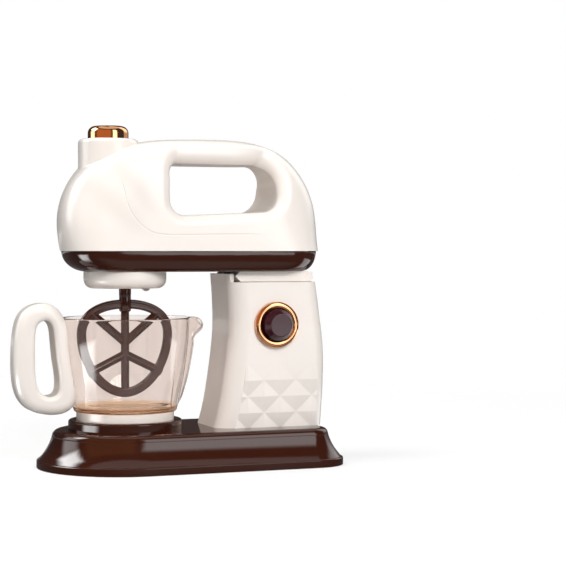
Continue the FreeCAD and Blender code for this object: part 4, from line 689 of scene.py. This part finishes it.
def bowl_shell(wall, floor, ridge, columns):
    """The bowl's whole skin, as rings from the middle of its underside out, up, over its rim and down inside.

    Each column's rim is lowered by the lip's drop at its reach, by repeating height = rim - drop(reach).
    The inner wall is the outer one moved in along its normal, the cross product of two edge directions.
    """
    base = bowl_low.z / MM
    rim = (bowl_high.z - bowl_low.z) / MM
    angle = np.linspace(-math.pi, math.pi, columns, endpoint=False)
    top = np.full(columns, rim)
    for _ in range(RIM_ROUNDS):
        reach = bowl_radius(top, angle, ridge) * np.cos(angle)
        top = 0.5 * top + 0.5 * (rim - smooth_through(LIP_REACH, LIP_DROP, np.abs(reach)) * (reach > 0.0))
    edge = wall / 2.0
    corner = BOWL_CORNER
    hollow = BOWL_HOLLOW
    share = np.linspace(0.0, 1.0, WALL_RINGS) ** WALL_CROWDING

    def placed(radius, rise):
        return np.stack([BOWL_X / MM + radius * np.cos(angle), radius * np.sin(angle),
                         base + rise + 0.0 * radius], axis=-1)

    def walls(first):
        rise = first + (top - edge - first) * share[:, None]
        return placed(bowl_radius(rise, angle, ridge), rise)

    outer = walls(corner)
    beside = np.roll(outer, -1, axis=1) - np.roll(outer, 1, axis=1)
    along = np.gradient(outer, axis=0)
    normal = np.cross(beside, along)
    normal /= np.linalg.norm(normal, axis=2, keepdims=True)
    inner = outer - wall * normal
    inner[..., 2] = np.minimum(inner[..., 2], outer[-1, :, 2])
    bottom_radius = bowl_radius(np.full(columns, corner), angle, ridge)
    turn = np.linspace(0.0, 0.5 * math.pi, 6)[:-1, None]
    under = placed((bottom_radius - corner) * np.linspace(0.06, 0.97, 7)[:, None], 0.0)
    under_edge = placed(bottom_radius - corner + corner * np.sin(turn), corner - corner * np.cos(turn))
    middle = 0.5 * (outer[-1] + inner[-1])
    out = outer[-1] - middle
    over = np.linspace(0.0, math.pi, 11)[1:-1, None, None]
    lift = np.array([0.0, 0.0, edge])
    rim_rings = middle + np.cos(over) * out + np.sin(over) * lift
    inside = inner[inner[:, columns // 2, 2] > base + floor + hollow]
    low = inside[0]
    centre = np.array([BOWL_X / MM, 0.0, 0.0])
    spoke = (low - centre) * (1.0, 1.0, 0.0)
    length = np.linalg.norm(spoke, axis=1, keepdims=True)
    spoke /= length
    drop = low[:, 2:] - base - floor
    sweep = np.linspace(0.0, 0.5 * math.pi, 10)[1:, None, None]
    bend_radius = length - hollow * (1.0 - np.cos(sweep))
    bend_rise = floor + drop * (1.0 - np.sin(sweep))
    up = np.array([0.0, 0.0, 1.0])
    bend = centre + spoke * bend_radius + up * (base + bend_rise)
    flat_radius = (length - hollow) * np.linspace(0.9, 0.06, 7)[:, None, None]
    flat = centre + spoke * flat_radius + up * (base + floor)
    return skin(np.concatenate([under, under_edge, outer, rim_rings, inside[::-1], bend, flat]))


class MIXER_OT_bowl(bpy.types.Operator):
    """Make the clear bowl with its pouring ridge and beak"""
    bl_idname = "mixer.bowl"
    bl_label = "Clear bowl"

    def execute(self, context):
        sizes = context.scene.mixer_bowl
        tint = tuple(context.scene.mixer_colours.clear)
        material = clear_wall("bowl_clear", tint, 0.008, [bowl_low.z + rise for rise in AMBER_RISE])
        shell = bowl_shell(sizes.wall / MM, sizes.floor / MM, sizes.ridge, sizes.columns)
        bowl = make_piece("clear_bowl", [shell], material, "bowl")
        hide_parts("mixing_bowl")
        return {"FINISHED"}


def egg_line(inset, count):
    """The beater's outline drawn in by inset: a superellipse above the widest height and another below it."""
    angle = np.linspace(0.0, 2.0 * math.pi, count, endpoint=False)
    above = np.sin(angle) >= 0.0
    power = 2.0 / np.where(above, EGG_POWER_ABOVE, EGG_POWER_BELOW)
    half = (beater_high.x - beater_low.x) / 2.0 / MM
    height = np.where(above, EGG_HEIGHT - EGG_WIDEST_RISE, EGG_WIDEST_RISE)
    x = half * rounded_power(np.cos(angle), power)
    z = height * rounded_power(np.sin(angle), power)
    line = np.stack([x, np.zeros(count), z], axis=1)
    along = np.roll(line, -1, axis=0) - np.roll(line, 1, axis=0)
    return line - inset * across(along)


def across(along):
    """The unit direction in the beater's plane at right angles to a line that runs along it."""
    side = np.cross((0.0, 1.0, 0.0), along)
    return side / np.linalg.norm(side, axis=-1, keepdims=True)


def bar(line, section, closed):
    """A section (columns, 2) of widths in the plane and thicknesses across it, carried along a line."""
    along = np.roll(line, -1, axis=0) - np.roll(line, 1, axis=0) if closed else np.gradient(line, axis=0)
    side = across(along)
    widths = side[:, None, :] * section[..., 0][..., None]
    thick = np.array([0.0, 1.0, 0.0]) * section[..., 1][..., None]
    return skin(line[:, None, :] + widths + thick, closed)


def oval(half_width, half_thickness, power):
    """A superellipse: full and flat-sided at a high power, a roof on each face near 1."""
    turn = np.linspace(0.0, 2.0 * math.pi, SECTION_POINTS, endpoint=False)
    return np.stack([half_width * rounded_power(np.cos(turn), 2.0 / power),
                     half_thickness * rounded_power(np.sin(turn), 2.0 / power)], axis=1)


def beater_shells(rim, rib, thickness):
    """The rim carried round the egg, five roofed ribs that thin towards their ends, and the turned stem."""
    middle = np.array([BOWL_X / MM, 0.0, beater_low.z / MM + EGG_WIDEST_RISE])
    line = egg_line(rim / 2.0, RIM_POINTS)
    section = oval(rim / 2.0, thickness / 2.0, RIM_POWER)
    dish = 1.0 - RIM_DISH * (1.0 - smooth_step(0.25, 0.75, np.abs(section[:, 0]) / (rim / 2.0)))
    section[:, 1] *= dish
    shells = [bar(middle + line, section, True)]
    share = np.linspace(0.0, 1.0, RIB_POINTS)
    thinned = RIB_THINNING * (1.0 - smooth_step(0.0, 0.12, share))
    fade = 1.0 - thinned - RIB_THINNING * smooth_step(0.88, 1.0, share)
    roof = oval(rib / 2.0, thickness / 2.0, ROOF_POWER)
    roofs = roof * np.stack([np.ones(RIB_POINTS), fade], axis=1)[:, None, :]
    for start, end in RIBS:
        run = np.stack([np.interp(share, (0, 1), (start[0], end[0])), 0.0 * share,
                        np.interp(share, (0, 1), (start[1], end[1]))], axis=1)
        shells.append(bar(middle + run, roofs, False))
    stem_top = beater_high.z / MM
    crown = beater_low.z / MM + EGG_HEIGHT
    stretches = ((crown, STEM_FOOT), (stem_top, STEM_TOP), (crown, STEM_WELL))
    stem = np.array([(radius, end - depth) for end, stretch in stretches for radius, depth in stretch])
    turn = np.linspace(0.0, 2.0 * math.pi, STEM_POINTS, endpoint=False)
    radius = stem[:, :1]
    rings = np.stack([middle[0] + radius * np.cos(turn), radius * np.sin(turn),
                      stem[:, 1:] + 0.0 * radius * turn], axis=-1)
    return shells + [skin(rings)]


class MIXER_OT_beater(bpy.types.Operator):
    """Make the beater: an egg-shaped rim, roofed ribs and a round stem"""
    bl_idname = "mixer.beater"
    bl_label = "Beater"

    def execute(self, context):
        sizes = context.scene.mixer_beater
        shells = beater_shells(sizes.rim / MM, sizes.rib / MM, sizes.thickness / MM)
        beater = make_piece("moulded_beater", shells, cocoa_gloss(context), "beater")
        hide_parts("beater")
        return {"FINISHED"}


def direction(azimuth, elevation):
    """The unit direction to a place in the studio: azimuth 0 before the side, -90 before the nose."""
    turn = np.radians(azimuth)
    lift = np.radians(elevation)
    return np.stack([np.sin(turn) * np.cos(lift), -np.cos(turn) * np.cos(lift), np.sin(lift)], axis=-1)


def lamp(name, azimuth, elevation, distance, size, power):
    """A soft square lamp that lights the object and doesn't show in its gloss."""
    data = bpy.data.lights.new(name, "AREA")
    data.size = size
    data.energy = power
    made = bpy.data.objects.new(name, data)
    bpy.context.scene.collection.objects.link(made)
    facing = direction(azimuth, elevation)
    made.location = AIM + distance * facing
    made.rotation_mode = "QUATERNION"
    made.rotation_quaternion = Vector(facing).to_track_quat("Z", "Y")
    made.visible_glossy = False


def card_grid(first, second):
    """A square grid of two values, each running evenly between its two ends."""
    return np.meshgrid(np.linspace(*first, CARD_POINTS), np.linspace(*second, CARD_POINTS), indexing="ij")


def stage_tree(name, mesh):
    """An empty material on a mesh of the stage, and its tree."""
    material = bpy.data.materials.new(name)
    mesh.materials.append(material)
    return NodeTree(material, "ShaderNodeOutputMaterial")


def gloss_card(name, points, level, soft, colour):
    """A card through a square grid of points, on the stage, that nothing but gloss sees.

    Its glow fades to nothing over the share soft of its width and height.
    """
    i, j = np.meshgrid(np.arange(CARD_POINTS - 1), np.arange(CARD_POINTS - 1), indexing="ij")
    first = (i * CARD_POINTS + j).ravel()
    faces = np.stack([first, first + CARD_POINTS, first + CARD_POINTS + 1, first + 1], axis=1)
    mesh = bpy.data.meshes.new(name)
    mesh.from_pydata(points.reshape(-1, 3).tolist(), [], faces.tolist())
    corners = np.stack(card_grid((0.0, 1.0), (0.0, 1.0)), axis=-1).reshape(-1, 2)[faces.ravel()]
    mesh.uv_layers.new(name="card").data.foreach_set("uv", corners.ravel())
    card = bpy.data.objects.new(name, mesh)
    bpy.context.scene.collection.objects.link(card)
    tree = stage_tree(name, mesh)
    uv = tree.node("ShaderNodeTexCoord", {}, {}, "UV")
    along = tree.node("ShaderNodeSeparateXYZ", {}, {0: uv}, 0)
    up = tree.node("ShaderNodeSeparateXYZ", {}, {0: uv}, 1)
    margin = along.least(1.0 - along).least(up.least(1.0 - up)) / soft
    shown = tree.node("ShaderNodeMapRange", {"interpolation_type": "SMOOTHSTEP"}, {"Value": margin})
    clear = tree.node("ShaderNodeBsdfTransparent", {}, {})
    tree.show(tree.either(shown, clear, tree.glow(colour, level)))
    card.visible_camera = False
    card.visible_diffuse = False
    card.visible_transmission = False
    card.visible_shadow = False


def far_card(name, azimuths, elevations, distance, level, soft, colour):
    """A curved card in the gloss: a patch of a sphere round AIM, between two azimuths and two elevations."""
    turn, lift = card_grid(azimuths, elevations)
    gloss_card(name, AIM + distance * direction(turn, lift), level, soft, colour)


def floor_card(name, azimuths, reaches, centre, height, level, soft):
    """A card in the gloss that lies near the floor: a part of a ring round a centre, between two reaches."""
    turn, reach = card_grid(azimuths, reaches)
    turn = np.radians(turn)
    places = [centre[0] + reach * np.sin(turn), centre[1] - reach * np.cos(turn), height + 0.0 * reach]
    gloss_card(name, np.stack(places, axis=-1), level, soft, WHITE)


class MIXER_OT_stage(bpy.types.Operator):
    """Lay the pale floor, set the soft lamps and the gloss cards, and place the camera"""
    bl_idname = "mixer.stage"
    bl_label = "Studio"

    def execute(self, context):
        scene = context.scene
        studio = scene.mixer_studio
        forward = Vector((math.sin(studio.turn) * math.cos(studio.tilt),
                          math.cos(studio.turn) * math.cos(studio.tilt), -math.sin(studio.tilt)))
        data = bpy.data.cameras.new("view")
        camera = bpy.data.objects.new("view", data)
        scene.collection.objects.link(camera)
        camera.location = CAMERA_PLACE
        camera.rotation_mode = "QUATERNION"
        camera.rotation_quaternion = forward.to_track_quat("-Z", "Y")
        data.sensor_width = SENSOR
        data.lens = FOCAL_PIXELS / FRAME_PIXELS * SENSOR
        data.clip_start = 0.05
        data.clip_end = 20.0
        scene.camera = camera
        self.lay_floor(scene)
        for name, azimuth, elevation, distance, size in LAMPS:
            lamp(name, azimuth, elevation, distance, size, getattr(studio, name))
        for row in FAR_CARDS:
            far_card(*row)
        for row in FLOOR_CARDS:
            floor_card(*row)
        self.set_sky(scene, studio.sky)
        scene.view_settings.view_transform = "Standard"
        return {"FINISHED"}

    def lay_floor(self, scene):
        """A round pale floor, partly lit near the object and all glow further out.

        The rays that carry its light to the object find it duller than the rays that look.
        """
        turn = np.linspace(0.0, 2.0 * math.pi, FLOOR_POINTS, endpoint=False)
        reach = np.array(FLOOR_REACH)[:, None]
        rings = np.stack([reach * np.cos(turn), reach * np.sin(turn), 0.0 * reach * turn], axis=-1)
        middle = (len(FLOOR_REACH) - 1) * FLOOR_POINTS + np.arange(FLOOR_POINTS)
        faces = ring_faces(len(FLOOR_REACH), FLOOR_POINTS).tolist() + [middle.tolist()]
        mesh = bpy.data.meshes.new("floor")
        mesh.from_pydata(rings.reshape(-1, 3).tolist(), [], faces)
        floor = bpy.data.objects.new("floor", mesh)
        scene.collection.objects.link(floor)
        pale = stage_tree("floor_pale", mesh)
        place = pale.node("ShaderNodeTexCoord", {}, {}, "Object")
        far = pale.node("ShaderNodeVectorMath", {"operation": "LENGTH"}, {0: place}, "Value")
        near = pale.node("ShaderNodeMapRange", {"interpolation_type": "SMOOTHSTEP"},
                         {"Value": far, "From Min": 0.3, "From Max": 0.9, "To Min": 0.42, "To Max": 0.0})
        lit = pale.node("ShaderNodeBsdfDiffuse", {}, {"Color": (0.95, 0.95, 0.95, 1.0)})
        dull = pale.node("ShaderNodeBsdfDiffuse", {}, {"Color": (0.45, 0.45, 0.45, 1.0)})
        shown = pale.either(near, pale.glow(WHITE, 1.0), lit)
        pale.show(pale.either(pale.seen(), dull, shown))

    def set_sky(self, scene, level):
        """White for the rays that look, and the even light's level for all others."""
        world = bpy.data.worlds.new("studio")
        scene.world = world
        sky = NodeTree(world, "ShaderNodeOutputWorld")
        even = sky.node("ShaderNodeBackground", {}, {"Color": (*WHITE, 1.0), "Strength": level})
        white = sky.node("ShaderNodeBackground", {}, {"Color": (*WHITE, 1.0), "Strength": 1.0})
        sky.show(sky.either(sky.seen(), even, white))


class MIXER_PT_panel(bpy.types.Panel):
    """The mixer's sizes, colours and makers"""
    bl_idname = "MIXER_PT_panel"
    bl_label = "Toy Mixer"
    bl_space_type = "VIEW_3D"
    bl_region_type = "UI"
    bl_category = "Toy Mixer"

    def draw(self, context):
        for group, _ in GROUPS:
            settings = getattr(context.scene, group)
            box = self.layout.box()
            for name in settings.bl_rna.properties.keys():
                if name not in ("rna_type", "name"):
                    box.prop(settings, name)
        for kind in OPERATORS:
            self.layout.operator(kind.bl_idname)


GROUPS = (
    ("mixer_colours", MixerColours),
    ("mixer_bowl", MixerBowl),
    ("mixer_beater", MixerBeater),
    ("mixer_ring", MixerRing),
    ("mixer_studio", MixerStudio),
)
OPERATORS = (MIXER_OT_mouldings, MIXER_OT_cocoa, MIXER_OT_controls, MIXER_OT_drive, MIXER_OT_fasteners,
             MIXER_OT_bowl, MIXER_OT_beater, MIXER_OT_ring, MIXER_OT_coil, MIXER_OT_stage)


def register():
    for group, kind in GROUPS:
        bpy.utils.register_class(kind)
        setattr(bpy.types.Scene, group, PointerProperty(type=kind))
    for kind in OPERATORS + (MIXER_PT_panel,):
        bpy.utils.register_class(kind)


def unregister():
    for kind in reversed(OPERATORS + (MIXER_PT_panel,)):
        bpy.utils.unregister_class(kind)
    for group, kind in reversed(GROUPS):
        delattr(bpy.types.Scene, group)
        bpy.utils.unregister_class(kind)


def main():
    register()
    bpy.ops.mixer.mouldings()
    bpy.ops.mixer.cocoa()
    bpy.ops.mixer.controls()
    bpy.ops.mixer.drive()
    bpy.ops.mixer.fasteners()
    bpy.ops.mixer.bowl()
    bpy.ops.mixer.beater()
    bpy.ops.mixer.ring()
    bpy.ops.mixer.coil()
    bpy.ops.mixer.stage()


if __name__ == "__main__":
    main()
